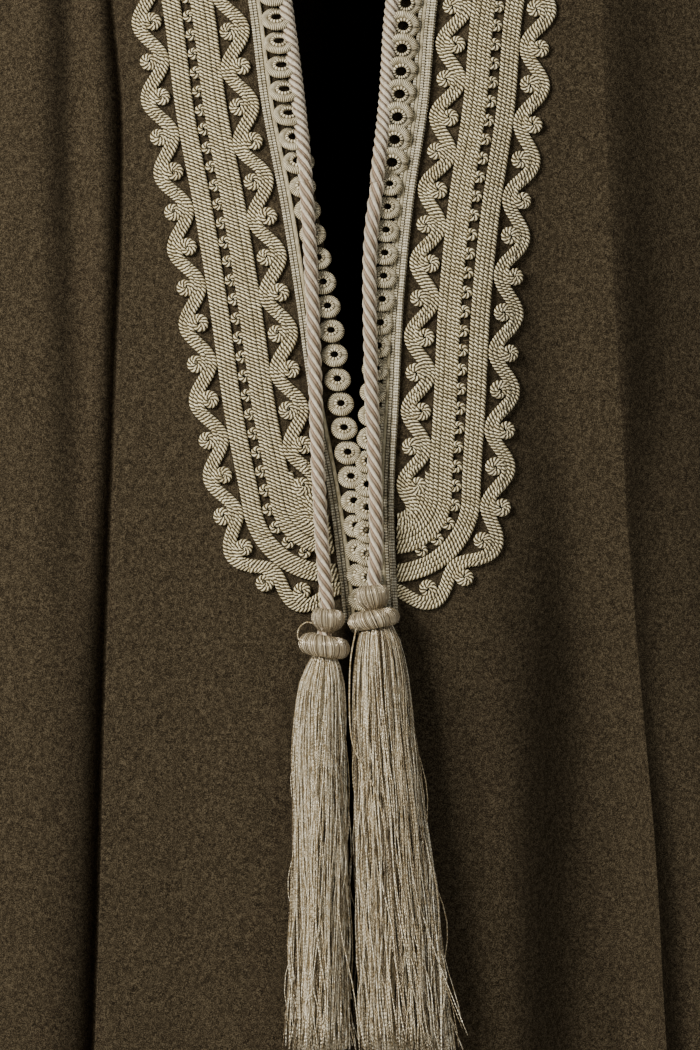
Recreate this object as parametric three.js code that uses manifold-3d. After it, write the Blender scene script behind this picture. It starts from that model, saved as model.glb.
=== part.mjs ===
// A worn abaya of heavy wool flannel. Its front has a deep narrow slit with couched-cord
// embroidery on both sides, and two ropes that leave the slit's edge and hang down to tassels.
// Millimetres. +X is the right side as seen from the front, -Y is the front and +Z is up.
// The origin lies midway between the two points where the shoulder seams meet the neck.
import * as THREE from 'three';
import { mergeVertices } from 'three/addons/utils/BufferGeometryUtils.js';
import Module from 'manifold-3d';

const wasm = await Module();
wasm.setup();

// ---- driving dimensions ----
const WALL = 2;
const SEAM_GAP = 0.3;
const NECK_HALF = 68;
const TIP_HALF = 205;
const TIP_DROP = 48;
const UNDERARM_Z = -260;
const UNDERARM_HALF = 218;
const HEM_Z = -1380;
const SLIT_END_Z = -400;
const TURN_Z = -352.4;
const BACK_NECK_Z = -18;
const SECTION_POWER = 2.3;

// Where each panel rounds over the shoulder: the height of the rounding and its length on the cloth.
const CROWN = { front: { rise: 110, run: 154 }, back: { rise: 90, run: 127 } };

// Sections of the body: half width at the side seam, depth in front of and behind that seam.
const BODY = [
  { z: 0, half: 250, front: 84, back: 68 },
  { z: -100, half: 245, front: 90, back: 84 },
  { z: -180, half: 235, front: 98, back: 93 },
  { z: -230, half: 224, front: 103, back: 94 },
  { z: UNDERARM_Z, half: UNDERARM_HALF, front: 105, back: 93 },
  { z: -320, half: 223, front: 106, back: 91 },
  { z: -400, half: 235, front: 106, back: 90 },
  { z: -600, half: 262, front: 110, back: 96 },
  { z: -800, half: 290, front: 120, back: 110 },
  { z: -1100, half: 336, front: 146, back: 144 },
  { z: HEM_Z, half: 385, front: 176, back: 182 },
];

// The armhole's edge on both panels.
const ARMHOLE = [
  { z: -11, half: TIP_HALF },
  { z: -60, half: 193 },
  { z: -120, half: 187 },
  { z: -180, half: 191 },
  { z: -230, half: 205 },
  { z: UNDERARM_Z, half: UNDERARM_HALF },
];

// Lines down the slit, from its edge outward: cloth edge, rope, ring row and outer side of the braid.
const SLIT = {
  left: [
    { z: 44, edge: -68, rope: -69, ring: -76.5, braid: -85 },
    { z: 0, edge: -60, rope: -61, ring: -68.5, braid: -77.5 },
    { z: -50, edge: -48.5, rope: -49.5, ring: -57, braid: -66 },
    { z: -100, edge: -38, rope: -39, ring: -45.5, braid: -54.5 },
    { z: -154, edge: -29, rope: -30, ring: -36, braid: -44.8 },
    { z: -194, edge: -23.5, rope: -24.8, ring: -31.5, braid: -39.6 },
    { z: -234, edge: -17.5, rope: -21.2, ring: -22, braid: -32 },
    { z: -274, edge: -10.5, rope: -19.2, ring: -13.6, braid: -25.6 },
    { z: -314, edge: -5, rope: -17.8, ring: -8, braid: -20 },
    { z: -354, edge: -0.6, rope: -16.4, ring: -2.6, braid: -12.4 },
    { z: -400, edge: 2.4, rope: -14, ring: 0.8, braid: -6.6 },
  ],
  right: [
    { z: 44, edge: 68, rope: 69, ring: 76.5, braid: 85 },
    { z: 0, edge: 52, rope: 53, ring: 60.5, braid: 69.5 },
    { z: -50, edge: 35, rope: 36, ring: 43.5, braid: 54 },
    { z: -100, edge: 22, rope: 23, ring: 29.5, braid: 41 },
    { z: -154, edge: 12, rope: 13, ring: 18.4, braid: 31.2 },
    { z: -194, edge: 9, rope: 10.2, ring: 15.6, braid: 27.6 },
    { z: -234, edge: 6.5, rope: 6, ring: 11.2, braid: 21.6 },
    { z: -274, edge: 5, rope: 3.7, ring: 8.8, braid: 17.6 },
    { z: -314, edge: 2.9, rope: 4.4, ring: 5, braid: 15.6 },
    { z: -354, edge: 2.2, rope: 6, ring: 2.8, braid: 13.6 },
    { z: -400, edge: 2.4, rope: 7, ring: 3.4, braid: 15.3 },
  ],
};

// Folds, each with its line down the cloth. A trough is a soft valley. A lap is a crisp fold edge,
// with the cloth set back on the side that "toward" gives.
const FRONT_FOLDS = [
  {
    kind: 'lap', toward: -1, width: 28,
    rows: [
      { z: 44, x: -112, depth: 0 },
      { z: -80, x: -106, depth: 1 },
      { z: -154, x: -98.8, depth: 5 },
      { z: -200, x: -95, depth: 6 },
      { z: -314, x: -98, depth: 7 },
      { z: -424, x: -102, depth: 8 },
      { z: -574, x: -106.4, depth: 9 },
      { z: HEM_Z, x: -150, depth: 14 },
    ],
  },
  {
    kind: 'lap', toward: 1, width: 30,
    rows: [
      { z: 44, x: 116, depth: 0 },
      { z: -80, x: 96, depth: 2 },
      { z: -154, x: 91.2, depth: 5 },
      { z: -248, x: 96.8, depth: 7 },
      { z: -362, x: 107.6, depth: 8 },
      { z: -497, x: 120, depth: 9 },
      { z: -574, x: 124.4, depth: 10 },
      { z: HEM_Z, x: 185, depth: 14 },
    ],
  },
  {
    kind: 'trough', width: 17,
    rows: [
      { z: 44, x: 96, depth: 0 },
      { z: -200, x: 76, depth: 0 },
      { z: -274, x: 76.5, depth: 5 },
      { z: -334, x: 78.4, depth: 9 },
      { z: -394, x: 79, depth: 14 },
      { z: -474, x: 81, depth: 19 },
      { z: -574, x: 83, depth: 23 },
      { z: HEM_Z, x: 116, depth: 34 },
    ],
  },
  {
    kind: 'trough', width: 12,
    rows: [
      { z: 44, x: 50, depth: 0 },
      { z: -405, x: 49, depth: 0 },
      { z: -450, x: 49.6, depth: 3 },
      { z: -574, x: 50, depth: 4 },
      { z: HEM_Z, x: 60, depth: 6 },
    ],
  },
  {
    kind: 'trough', width: 26,
    rows: [
      { z: 44, x: -30, depth: 0 },
      { z: -560, x: -38, depth: 0 },
      { z: -900, x: -44, depth: 12 },
      { z: HEM_Z, x: -54, depth: 24 },
    ],
  },
  {
    kind: 'trough', width: 34,
    rows: [
      { z: 44, x: -160, depth: 0 },
      { z: -420, x: -176, depth: 0 },
      { z: -800, x: -208, depth: 14 },
      { z: HEM_Z, x: -268, depth: 26 },
    ],
  },
  {
    kind: 'trough', width: 34,
    rows: [
      { z: 44, x: 165, depth: 0 },
      { z: -460, x: 186, depth: 0 },
      { z: -800, x: 216, depth: 12 },
      { z: HEM_Z, x: 284, depth: 24 },
    ],
  },
];

const BACK_FOLDS = [
  { x: -178, spread: 92, depth: 24, width: 34 },
  { x: -84, spread: 36, depth: 26, width: 28 },
  { x: 8, spread: 6, depth: 22, width: 30 },
  { x: 92, spread: 44, depth: 27, width: 26 },
  { x: 184, spread: 88, depth: 22, width: 36 },
].map(({ x, spread, depth, width }) => ({
  kind: 'trough',
  width,
  rows: [
    { z: 44, x, depth: 0 },
    { z: -330, x, depth: 0 },
    { z: -800, x: x + Math.sign(x) * spread * 0.45, depth: depth * 0.55 },
    { z: HEM_Z, x: x + Math.sign(x) * spread, depth },
  ],
}));

// Sleeve rings from the shoulder to the cuff: the ring's top and bottom, and half its depth.
const SLEEVE = [
  { topX: 205, topZ: -48, lowX: 218, lowZ: -260, half: 60, armhole: 1 },
  { topX: 221, topZ: -60, lowX: 226, lowZ: -268, half: 63, armhole: 0.55 },
  { topX: 243, topZ: -88, lowX: 238, lowZ: -300, half: 66, armhole: 0.2 },
  { topX: 270, topZ: -134, lowX: 251, lowZ: -348, half: 66, armhole: 0 },
  { topX: 304, topZ: -196, lowX: 267, lowZ: -402, half: 65, armhole: 0 },
  { topX: 344, topZ: -270, lowX: 285, lowZ: -458, half: 62, armhole: 0 },
  { topX: 396, topZ: -366, lowX: 303, lowZ: -526, half: 64, armhole: 0 },
  { topX: 450, topZ: -466, lowX: 322, lowZ: -596, half: 69, armhole: 0 },
  { topX: 505, topZ: -568, lowX: 340, lowZ: -663, half: 76, armhole: 0 },
];
const SLEEVE_RIPPLE = 3;
const SLEEVE_GAP = 0.45;

// Embroidery: distance of each piece from the braid's outer side to its centre, and half its width.
const SCROLL = { wave: 30.4, full: 6.2, notch: 4.8, thick: 1.6 };
const OUTER_SCROLL = { out: 41.2, phase: { left: 8.8, right: 5.6 }, spread: 1.7 };
const INNER_SCROLL = { out: 7.2, phase: { left: 25.2, right: 18.4 }, spread: 0 };
const OUTER_BAND = { out: 30.8, half: 3.6, thick: 1.8 };
const INNER_BAND = { out: 19.6, half: 5.6, thick: 1.8 };
const BRAID = { width: 5.6, neckWidth: 3.4, thick: 1.8, lowZ: -404, neckSteps: 8 };
const RING = { outer: 4.75, joint: 2.9, pitch: 10, thick: 1.8, lowZ: -402, neckSteps: 18 };
const TRIM_LIFT = 0.45;
const CROWN_LIFT = 0.2;
const BAND_STEP = 12;
const SEAM_MARGIN = 2;

const ROPE = { radius: 2.5, sides: 8, leaveZ: -228, step: 12 };
const ROPE_LOW = TRIM_LIFT + CROWN_LIFT + ROPE.radius;
const ROPE_HIGH = TRIM_LIFT + RING.thick + SEAM_GAP + ROPE.radius;

// The free ropes, chosen by hand: place across and down the cloth, and height above it.
const TIE = {
  left: [
    { x: -21.6, z: -228.6, lift: 5.1 },
    { x: -20.9, z: -240, lift: 5.3 },
    { x: -20.2, z: -252, lift: 5.4 },
    { x: -19.6, z: -264, lift: 5.5 },
    { x: -19.1, z: -276, lift: 5.6 },
    { x: -18.7, z: -289, lift: 5.7 },
    { x: -18.2, z: -302, lift: 5.9 },
    { x: -17.8, z: -315, lift: 6.2 },
    { x: -17.5, z: -328, lift: 6.6 },
    { x: -17, z: -341, lift: 7.2 },
    { x: -16.4, z: -354, lift: 8 },
    { x: -15.8, z: -366, lift: 9 },
    { x: -15.1, z: -377, lift: 10 },
    { x: -14.3, z: -387, lift: 11 },
    { x: -13.4, z: -397, lift: 11.6 },
  ],
  right: [
    { x: 6.9, z: -228.6, lift: 5.1 },
    { x: 5.3, z: -239, lift: 5.3 },
    { x: 4.2, z: -250, lift: 5.4 },
    { x: 3.7, z: -262, lift: 5.5 },
    { x: 3.7, z: -275, lift: 5.6 },
    { x: 3.9, z: -288, lift: 5.8 },
    { x: 4.2, z: -301, lift: 6.1 },
    { x: 4.5, z: -314, lift: 6.5 },
    { x: 5.1, z: -327, lift: 7.1 },
    { x: 5.6, z: -340, lift: 7.9 },
    { x: 6, z: -352, lift: 8.9 },
    { x: 6.2, z: -363, lift: 9.9 },
    { x: 6.1, z: -373, lift: 10.8 },
    { x: 5.6, z: -381, lift: 11.4 },
    { x: 5.2, z: -387.6, lift: 11.7 },
  ],
};

// Tassels: the head's bead and disc, and the skirt's centre line with its half width.
const TASSEL = {
  left: {
    beadX: -12.8, beadTop: -397.5, beadRadius: 6.8, beadHeight: 8, beadTilt: 8,
    discX: -14.2, discZ: -412, discRadius: 10.2, discHeight: 8.5, discTilt: 10,
    skirt: [
      { z: -417, x: -14.4, half: 7.6 },
      { z: -436, x: -16.2, half: 9.8 },
      { z: -480, x: -16.7, half: 10.8 },
      { z: -572, x: -17.4, half: 11.2 },
    ],
  },
  right: {
    beadX: 5, beadTop: -388, beadRadius: 6.8, beadHeight: 9, beadTilt: -4,
    discX: 5.4, discZ: -401.4, discRadius: 10.4, discHeight: 7, discTilt: -9,
    skirt: [
      { z: -406, x: 6.4, half: 6.8 },
      { z: -428, x: 7, half: 10 },
      { z: -480, x: 9.4, half: 12.4 },
      { z: -573, x: 20, half: 17 },
    ],
  },
};
const TASSEL_LIFT = 13.2;
const STRAND_RINGS = [
  { share: 0.98, count: 18 },
  { share: 0.62, count: 11 },
  { share: 0.26, count: 5 },
];
const STRAND_RADIUS = 0.85;

const CLOTH_LOOK = { color: 0x3c3122, roughness: 0.95, metalness: 0 };
const CORD_LOOK = { color: 0xb0a68c, roughness: 0.7, metalness: 0 };
const SILK_LOOK = { color: 0xc4b9a6, roughness: 0.55, metalness: 0 };

// ---- small helpers ----
function clamp(value, low, high) {
  return Math.min(high, Math.max(low, value));
}

function mix(a, b, t) {
  return a + (b - a) * t;
}

function smooth(t) {
  const s = clamp(t, 0, 1);
  return s * s * (3 - 2 * s);
}

// Reads a column of a table whose rows run downward in z, on a smooth curve through its rows.
function read(rows, column, z) {
  const last = rows.length - 1;
  if (z >= rows[0].z) return rows[0][column];
  if (z <= rows[last].z) return rows[last][column];
  let i = 0;
  while (rows[i + 1].z > z) i += 1;
  const slope = (a, b) => (rows[b][column] - rows[a][column]) / (rows[b].z - rows[a].z);
  const here = slope(i, i + 1);
  const before = i > 0 ? mix(here, slope(i - 1, i), 0.5) : here;
  const after = i < last - 1 ? mix(here, slope(i + 1, i + 2), 0.5) : here;
  const span = rows[i + 1].z - rows[i].z;
  const t = (z - rows[i].z) / span;
  const rise = rows[i + 1][column] - rows[i][column];
  const curve = (t * (1 - t)) * ((before * span - rise) * (1 - t) + (rise - after * span) * t);
  return rows[i][column] + rise * t + curve;
}

function foldHeight(folds, x, z) {
  let height = 0;
  for (const fold of folds) {
    const depth = read(fold.rows, 'depth', z);
    const across = x - read(fold.rows, 'x', z);
    if (fold.kind === 'trough') {
      height -= depth * Math.exp(-((across / fold.width) ** 2));
    } else {
      const past = across * fold.toward;
      if (past > 0) height -= depth * (1 - Math.exp(-past / 2.4)) * Math.exp(-past / fold.width);
      else height += 0.12 * depth * Math.exp(past / 9);
    }
  }
  return height;
}

// ---- the body's surface ----
// The cloth is addressed as a flat pattern: x across and q down. Below the crown q is the height z.
// Above it q goes on along the cloth up to the shoulder seam.
function shoulderZ(x) {
  return -TIP_DROP * Math.max(0, Math.abs(x) - NECK_HALF) / (TIP_HALF - NECK_HALF);
}

function seamQ(panel, x) {
  return shoulderZ(x) + CROWN[panel].run - CROWN[panel].rise;
}

function bodyPoint(panel, x, q) {
  const { rise, run } = CROWN[panel];
  const above = q - (shoulderZ(x) - rise);
  const turn = (Math.PI / 2) * (1 - clamp(above / run, 0, 1));
  const z = above > 0 ? shoulderZ(x) - rise + rise * Math.cos(turn) : q;
  const round = above > 0 ? Math.sin(turn) : 1;
  const share = clamp(Math.abs(x) / read(BODY, 'half', z), 0, 1);
  const side = (1 - share ** SECTION_POWER) ** (1 / SECTION_POWER);
  const folds = panel === 'front' ? FRONT_FOLDS : BACK_FOLDS;
  const fold = foldHeight(folds, x, q) * smooth(side * 2.2);
  const depth = (read(BODY, panel, z) * side + fold) * round + SEAM_GAP / 2;
  return new THREE.Vector3(x, panel === 'front' ? -depth : depth, z);
}

function bodyNormal(panel, x, q) {
  const step = 0.5;
  const top = seamQ(panel, x) - step;
  const at = Math.min(q, top);
  const across = bodyPoint(panel, x + step, at).sub(bodyPoint(panel, x - step, at));
  const down = bodyPoint(panel, x, at - step).sub(bodyPoint(panel, x, at + step));
  const normal = across.cross(down).normalize();
  return panel === 'front' ? normal.negate() : normal;
}

function overCloth(panel, x, q, lift) {
  return bodyPoint(panel, x, q).addScaledVector(bodyNormal(panel, x, q), lift);
}

// ---- closed walls from open sheets ----
function solidGeometry(points, faces) {
  const flat = points.flatMap((point) => point.toArray());
  const geometry = new THREE.BufferGeometry();
  geometry.setAttribute('position', new THREE.Float32BufferAttribute(flat, 3));
  geometry.setIndex(faces.flat());
  return geometry;
}

function signedVolume(points, faces) {
  return faces.reduce((sum, [a, b, c]) => sum + points[a].dot(points[b].clone().cross(points[c])), 0);
}

function vertexNormals(points, faces) {
  const normals = points.map(() => new THREE.Vector3());
  for (const face of faces) {
    const [a, b, c] = face.map((i) => points[i]);
    const normal = b.clone().sub(a).cross(c.clone().sub(a));
    face.forEach((i) => normals[i].add(normal));
  }
  return normals.map((normal) => normal.normalize());
}

// Gives an open sheet its wall: the inner side, and a strip along every free edge.
function thicken(points, faces, inwardAt) {
  const normals = vertexNormals(points, faces);
  const inner = points.map((point, i) => {
    const inward = inwardAt(i, normals[i].clone());
    return point.clone().addScaledVector(inward, WALL);
  });
  const count = points.length;
  const edges = new Map();
  for (const [a, b, c] of faces) {
    for (const [from, to] of [[a, b], [b, c], [c, a]]) {
      if (edges.has(`${to},${from}`)) edges.delete(`${to},${from}`);
      else edges.set(`${from},${to}`, [from, to]);
    }
  }
  const all = [...faces];
  faces.forEach(([a, b, c]) => all.push([c + count, b + count, a + count]));
  for (const [from, to] of edges.values()) {
    all.push([to, from, from + count], [to, from + count, to + count]);
  }
  return solidGeometry([...points, ...inner], all);
}

function gridFaces(rows, columns, start = 0) {
  const faces = [];
  for (let r = 0; r < rows - 1; r += 1) {
    for (let c = 0; c < columns - 1; c += 1) {
      const a = start + r * columns + c;
      faces.push([a, a + columns, a + 1], [a + 1, a + columns, a + columns + 1]);
    }
  }
  return faces;
}

// ---- front and back ----
// Rows of the panels: shares of the way from the shoulder to the underarm, then heights below it.
const FRONT_UPPER = [
  0, 0.05, 0.1, 0.15, 0.21, 0.28, 0.35, 0.43, 0.51, 0.6, 0.69, 0.78, 0.86, 0.92, 0.96, 0.985, 1,
];
const FRONT_LOWER = [
  -281, -305, -330, -353, -377, SLIT_END_Z, -435, -475, -520, -575,
  -640, -730, -840, -970, -1110, -1245, HEM_Z,
];
const BACK_UPPER = [0, 0.09, 0.19, 0.3, 0.42, 0.56, 0.7, 0.84, 0.92, 0.97, 1];
const BACK_LOWER = [-330, -410, -500, -600, -710, -830, -960, -1100, -1240, HEM_Z];

// Lines across the panels: shares from the slit to the fold, from past the fold to the side, and
// from the back's centre to its side.
const TO_FOLD = {
  left: [0, 0.2, 0.4, 0.6, 0.8, 1],
  right: [0, 0.17, 0.34, 0.48, 0.61, 0.72, 0.83, 0.93, 1],
};
const PAST_FOLD = [0, 0.14, 0.3, 0.46, 0.62, 0.78, 0.91, 1];
const FOLD_STEP = 5;
const NECK_SHARE = NECK_HALF / TIP_HALF;
const BACK_SHARES = [0, 0.12, 0.23, NECK_SHARE, 0.46, 0.6, 0.74, 0.87, 0.95, 1];
const BACK_NECK_CURVE = 2.6;

function outerHalf(q) {
  return q > UNDERARM_Z ? read(ARMHOLE, 'half', q) : read(BODY, 'half', q);
}

function frontRows() {
  const top = seamQ('front', NECK_HALF);
  const tip = seamQ('front', TIP_HALF);
  const upper = FRONT_UPPER.map((t) => ({
    inner: mix(top, UNDERARM_Z, t),
    outer: mix(tip, UNDERARM_Z, t),
  }));
  return [...upper, ...FRONT_LOWER.map((z) => ({ inner: z, outer: z }))];
}

// The lines across one half of the front: from the slit or centre, past its folds, to the side.
function frontColumns(side, row) {
  const sign = side === 'left' ? -1 : 1;
  const inner = row.inner > SLIT_END_Z
    ? read(SLIT[side], 'edge', row.inner)
    : mix(SLIT[side].at(-1).edge, 0, (SLIT_END_Z - row.inner) / (SLIT_END_Z - HEM_Z));
  const outer = sign * outerHalf(row.outer);
  const lap = read(FRONT_FOLDS[side === 'left' ? 0 : 1].rows, 'x', row.inner);
  const past = lap + sign * FOLD_STEP;
  const across = [
    ...TO_FOLD[side].map((share) => mix(inner, lap, share)),
    ...PAST_FOLD.map((share) => mix(past, outer, share)),
  ];
  return across.map((x) => ({
    x,
    q: mix(row.inner, row.outer, (x - inner) / (outer - inner)),
  }));
}

function frontSheet() {
  const rows = frontRows();
  const points = [];
  const faces = [];
  const info = [];
  const centre = new Map();
  const armhole = {};
  for (const side of ['left', 'right']) {
    const grid = rows.map((row, r) => frontColumns(side, row).map((place, c, list) => {
      const shared = c === 0 && row.inner <= SLIT_END_Z;
      if (shared && centre.has(row.inner)) return centre.get(row.inner);
      const index = points.length;
      points.push(bodyPoint('front', place.x, Math.min(place.q, seamQ('front', place.x))));
      const seam = r === 0 || (c === list.length - 1 && row.outer <= UNDERARM_Z);
      info.push({ seam, ...place });
      if (shared) centre.set(row.inner, index);
      return index;
    }));
    for (let r = 0; r < grid.length - 1; r += 1) {
      for (let c = 0; c < grid[r].length - 1; c += 1) {
        const [a, b, d, e] = [grid[r][c], grid[r][c + 1], grid[r + 1][c], grid[r + 1][c + 1]];
        if (side === 'right') faces.push([a, d, b], [b, d, e]);
        else faces.push([a, b, d], [b, e, d]);
      }
    }
    armhole[side] = armholeEdge('front', side, grid, rows, points, info);
  }
  return { points, faces, info, armhole };
}

// The armhole's edge from the shoulder down to the underarm, with the way out past the edge.
function armholeEdge(panel, side, grid, rows, points, info) {
  const edge = grid.filter((line, r) => rows[r].outer >= UNDERARM_Z).map((line) => line.at(-1));
  const turned = (panel === 'front') === (side === 'right') ? 1 : -1;
  return edge.map((index, i) => {
    const from = points[edge[Math.max(i - 1, 0)]];
    const to = points[edge[Math.min(i + 1, edge.length - 1)]];
    const along = to.clone().sub(from).normalize();
    const normal = bodyNormal(panel, info[index].x, info[index].q);
    const beyond = normal.cross(along).multiplyScalar(turned).normalize();
    return { point: points[index].clone(), beyond };
  });
}

function backSheet() {
  const top = seamQ('back', TIP_HALF);
  const topQ = (share) => {
    if (share >= NECK_SHARE) return seamQ('back', share * TIP_HALF);
    return mix(BACK_NECK_Z, seamQ('back', 0), (share / NECK_SHARE) ** BACK_NECK_CURVE);
  };
  const upper = BACK_UPPER.map((t) => ({
    outer: mix(top, UNDERARM_Z, t),
    q: (share) => mix(topQ(share), UNDERARM_Z, t),
  }));
  const lower = BACK_LOWER.map((z) => ({ outer: z, q: () => z }));
  const rows = [...upper, ...lower];
  const halves = [...BACK_SHARES.slice(1).map((share) => -share).reverse(), ...BACK_SHARES];
  const points = [];
  const info = [];
  rows.forEach((row, r) => halves.forEach((half) => {
    const share = Math.abs(half);
    const x = half * outerHalf(row.outer);
    points.push(bodyPoint('back', x, Math.min(row.q(share), seamQ('back', x))));
    const seam = (r === 0 && share >= NECK_SHARE) || (share === 1 && row.outer <= UNDERARM_Z);
    info.push({ seam, x, q: row.q(share) });
  }));
  const faces = gridFaces(rows.length, halves.length).map(([a, b, c]) => [c, b, a]);
  const grid = rows.map((row, r) => halves.map((half, c) => r * halves.length + c));
  return {
    points,
    faces,
    info,
    armhole: {
      left: armholeEdge('back', 'left', grid.map((line) => [...line].reverse()), rows, points, info),
      right: armholeEdge('back', 'right', grid, rows, points, info),
    },
  };
}

function panelGeometry(panel, sheet) {
  return thicken(sheet.points, sheet.faces, (i) => {
    const { seam, x, q } = sheet.info[i];
    const normal = bodyNormal(panel, x, q);
    if (seam) normal.y = 0;
    return normal.normalize().negate();
  });
}

// ---- sleeves ----
function sleeveSheet(side, frontEdge, backEdge) {
  const sign = side === 'left' ? -1 : 1;
  const last = frontEdge.length - 1;
  const join = (a, b) => ({
    point: a.point.clone().add(b.point).multiplyScalar(0.5),
    beyond: a.beyond.clone().add(b.beyond).normalize(),
  });
  const loop = [
    join(frontEdge[0], backEdge[0]),
    ...frontEdge.slice(1, last),
    join(frontEdge[last], backEdge.at(-1)),
    ...backEdge.slice(1, -1).reverse(),
  ];
  const underarm = last;
  const turns = loop.map((spot, i) => (i <= underarm
    ? Math.PI * (i / underarm)
    : Math.PI * (1 + (i - underarm) / (loop.length - underarm))));
  const first = SLEEVE[0];
  const ringPoint = (ring, turn, k) => {
    const up = Math.cos(turn);
    const ripple = SLEEVE_RIPPLE * smooth(k / 4) * Math.sin(3 * turn + 1.3 * k);
    const half = ring.half + ripple;
    return new THREE.Vector3(
      sign * mix(ring.lowX, ring.topX, (1 + up) / 2),
      -half * Math.sin(turn),
      mix(ring.lowZ, ring.topZ, (1 + up) / 2),
    );
  };
  const points = [];
  SLEEVE.forEach((ring, k) => loop.forEach((spot, i) => {
    const plain = ringPoint(ring, turns[i], k);
    const start = spot.point.clone().sub(ringPoint(first, turns[i], 0));
    const point = plain.addScaledVector(start, ring.armhole);
    if (k === 0) point.addScaledVector(spot.beyond, SLEEVE_GAP);
    points.push(point);
  }));
  const count = loop.length;
  const faces = [];
  for (let k = 0; k < SLEEVE.length - 1; k += 1) {
    for (let i = 0; i < count; i += 1) {
      const next = (i + 1) % count;
      const [a, b, c, d] = [k * count + i, k * count + next, (k + 1) * count + i, (k + 1) * count + next];
      if (sign > 0) faces.push([a, b, c], [b, d, c]);
      else faces.push([a, c, b], [b, c, d]);
    }
  }
  return { points, faces, loop };
}

function sleeveGeometry(side, frontEdge, backEdge) {
  const { points, faces, loop } = sleeveSheet(side, frontEdge, backEdge);
  return thicken(points, faces, (i, normal) => {
    const inward = normal.negate();
    if (i < loop.length) {
      const against = inward.dot(loop[i].beyond);
      if (against < 0) inward.addScaledVector(loop[i].beyond, -against);
    }
    return inward.normalize();
  });
}

// ---- embroidery ----
function lineAt(side, column, q) {
  return read(SLIT[side], column, q);
}

// Stations along a line that keeps the distance "out" from the braid's outer side: down the slit,
// then a quarter turn in toward the slit's end. Each has its outward direction on the pattern.
function outlinePath(side, out) {
  const sign = side === 'left' ? -1 : 1;
  const seamWay = new THREE.Vector2(sign * (TIP_HALF - NECK_HALF), -TIP_DROP).normalize();
  const path = [];
  const top = seamQ('front', NECK_HALF) + 2;
  const wayAt = (q) => {
    const slope = (lineAt(side, 'braid', q + 4) - lineAt(side, 'braid', q - 4)) / 8;
    const square = new THREE.Vector2(sign, -sign * slope).normalize();
    return square.lerp(seamWay, smooth((q + 50) / 90)).normalize();
  };
  for (let q = top; q > TURN_Z; q -= 2) {
    const way = wayAt(q);
    const x = lineAt(side, 'braid', q) + way.x * out;
    const down = q + way.y * out;
    if (down < seamQ('front', x) - SEAM_MARGIN) path.push({ x, q: down, way });
  }
  const centre = new THREE.Vector2(lineAt(side, 'braid', TURN_Z), TURN_Z);
  const start = wayAt(TURN_Z);
  const quarter = Math.PI / 2 - 1.2 / out;
  for (let turn = 0; turn <= quarter; turn += 0.02) {
    const way = start.clone().rotateAround(new THREE.Vector2(), -sign * turn);
    path.push({ x: centre.x + way.x * out, q: centre.y + way.y * out, way });
  }
  return path;
}

// Picks stations at equal steps along a path, from its lower end.
function evenStations(path, step, offset = 0) {
  const picked = [];
  let travelled = 0;
  let next = offset;
  const list = [...path].reverse();
  list.forEach((spot, i) => {
    if (i > 0) travelled += Math.hypot(spot.x - list[i - 1].x, spot.q - list[i - 1].q);
    if (travelled >= next || i === list.length - 1) {
      picked.push({ ...spot, run: travelled });
      next += step;
    }
  });
  const end = picked.at(-1);
  if (picked.length > 2 && end.run - picked.at(-2).run < step * 0.4) picked.splice(-2, 1);
  return picked;
}

// How far the cloth stands above the straight line between two of its places.
function bulge(panel, a, b) {
  const middle = { x: (a.x + b.x) / 2, q: (a.q + b.q) / 2 };
  const chord = bodyPoint(panel, a.x, a.q).add(bodyPoint(panel, b.x, b.q)).multiplyScalar(0.5);
  const above = bodyPoint(panel, middle.x, middle.q).sub(chord);
  return Math.max(0, above.dot(bodyNormal(panel, middle.x, middle.q)));
}

// A flat strip on the cloth. Each station gives its two sides as places on a panel.
function stripGeometry(stations, thick) {
  const points = [];
  for (const { panel, a, b } of stations) {
    const lift = TRIM_LIFT + CROWN_LIFT * smooth((a.q + 120) / 60) + bulge(panel, a, b);
    points.push(
      overCloth(panel, a.x, a.q, lift),
      overCloth(panel, b.x, b.q, lift),
      overCloth(panel, b.x, b.q, lift + thick),
      overCloth(panel, a.x, a.q, lift + thick),
    );
  }
  const faces = [];
  for (let s = 0; s < stations.length - 1; s += 1) {
    for (let k = 0; k < 4; k += 1) {
      const [p, q] = [s * 4 + k, s * 4 + ((k + 1) % 4)];
      faces.push([p, q, p + 4], [q, q + 4, p + 4]);
    }
  }
  const end = points.length - 4;
  faces.push([0, 2, 1], [0, 3, 2], [end, end + 1, end + 2], [end, end + 2, end + 3]);
  const outward = signedVolume(points, faces) > 0;
  return solidGeometry(points, outward ? faces : faces.map(([a, b, c]) => [c, b, a]));
}

function sided({ x, q, way }, inHalf, outHalf) {
  return {
    panel: 'front',
    a: { x: x - way.x * inHalf, q: q - way.y * inHalf },
    b: { x: x + way.x * outHalf, q: q + way.y * outHalf },
  };
}

function bandGeometry(side, band) {
  const stations = evenStations(outlinePath(side, band.out), BAND_STEP);
  return stripGeometry(stations.map((spot) => sided(spot, band.half, band.half)), band.thick);
}

// A wave of cords with a curl in each bend: full width at bends and curls, notched between them.
function scrollGeometry(side, scroll) {
  const quarter = SCROLL.wave / 4;
  const stations = evenStations(outlinePath(side, scroll.out), quarter, scroll.phase[side] % quarter);
  return stripGeometry(stations.map((spot, i) => {
    const half = i % 2 === 0 ? SCROLL.full : SCROLL.notch;
    return sided(spot, half, half + scroll.spread);
  }), SCROLL.thick);
}

// ---- the slit's border: braid, rings and rope, round the back of the neck and down the slit ----
const NECK_OFFSET = { rope: 1, ring: 8.5, braid: 17 };

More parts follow.
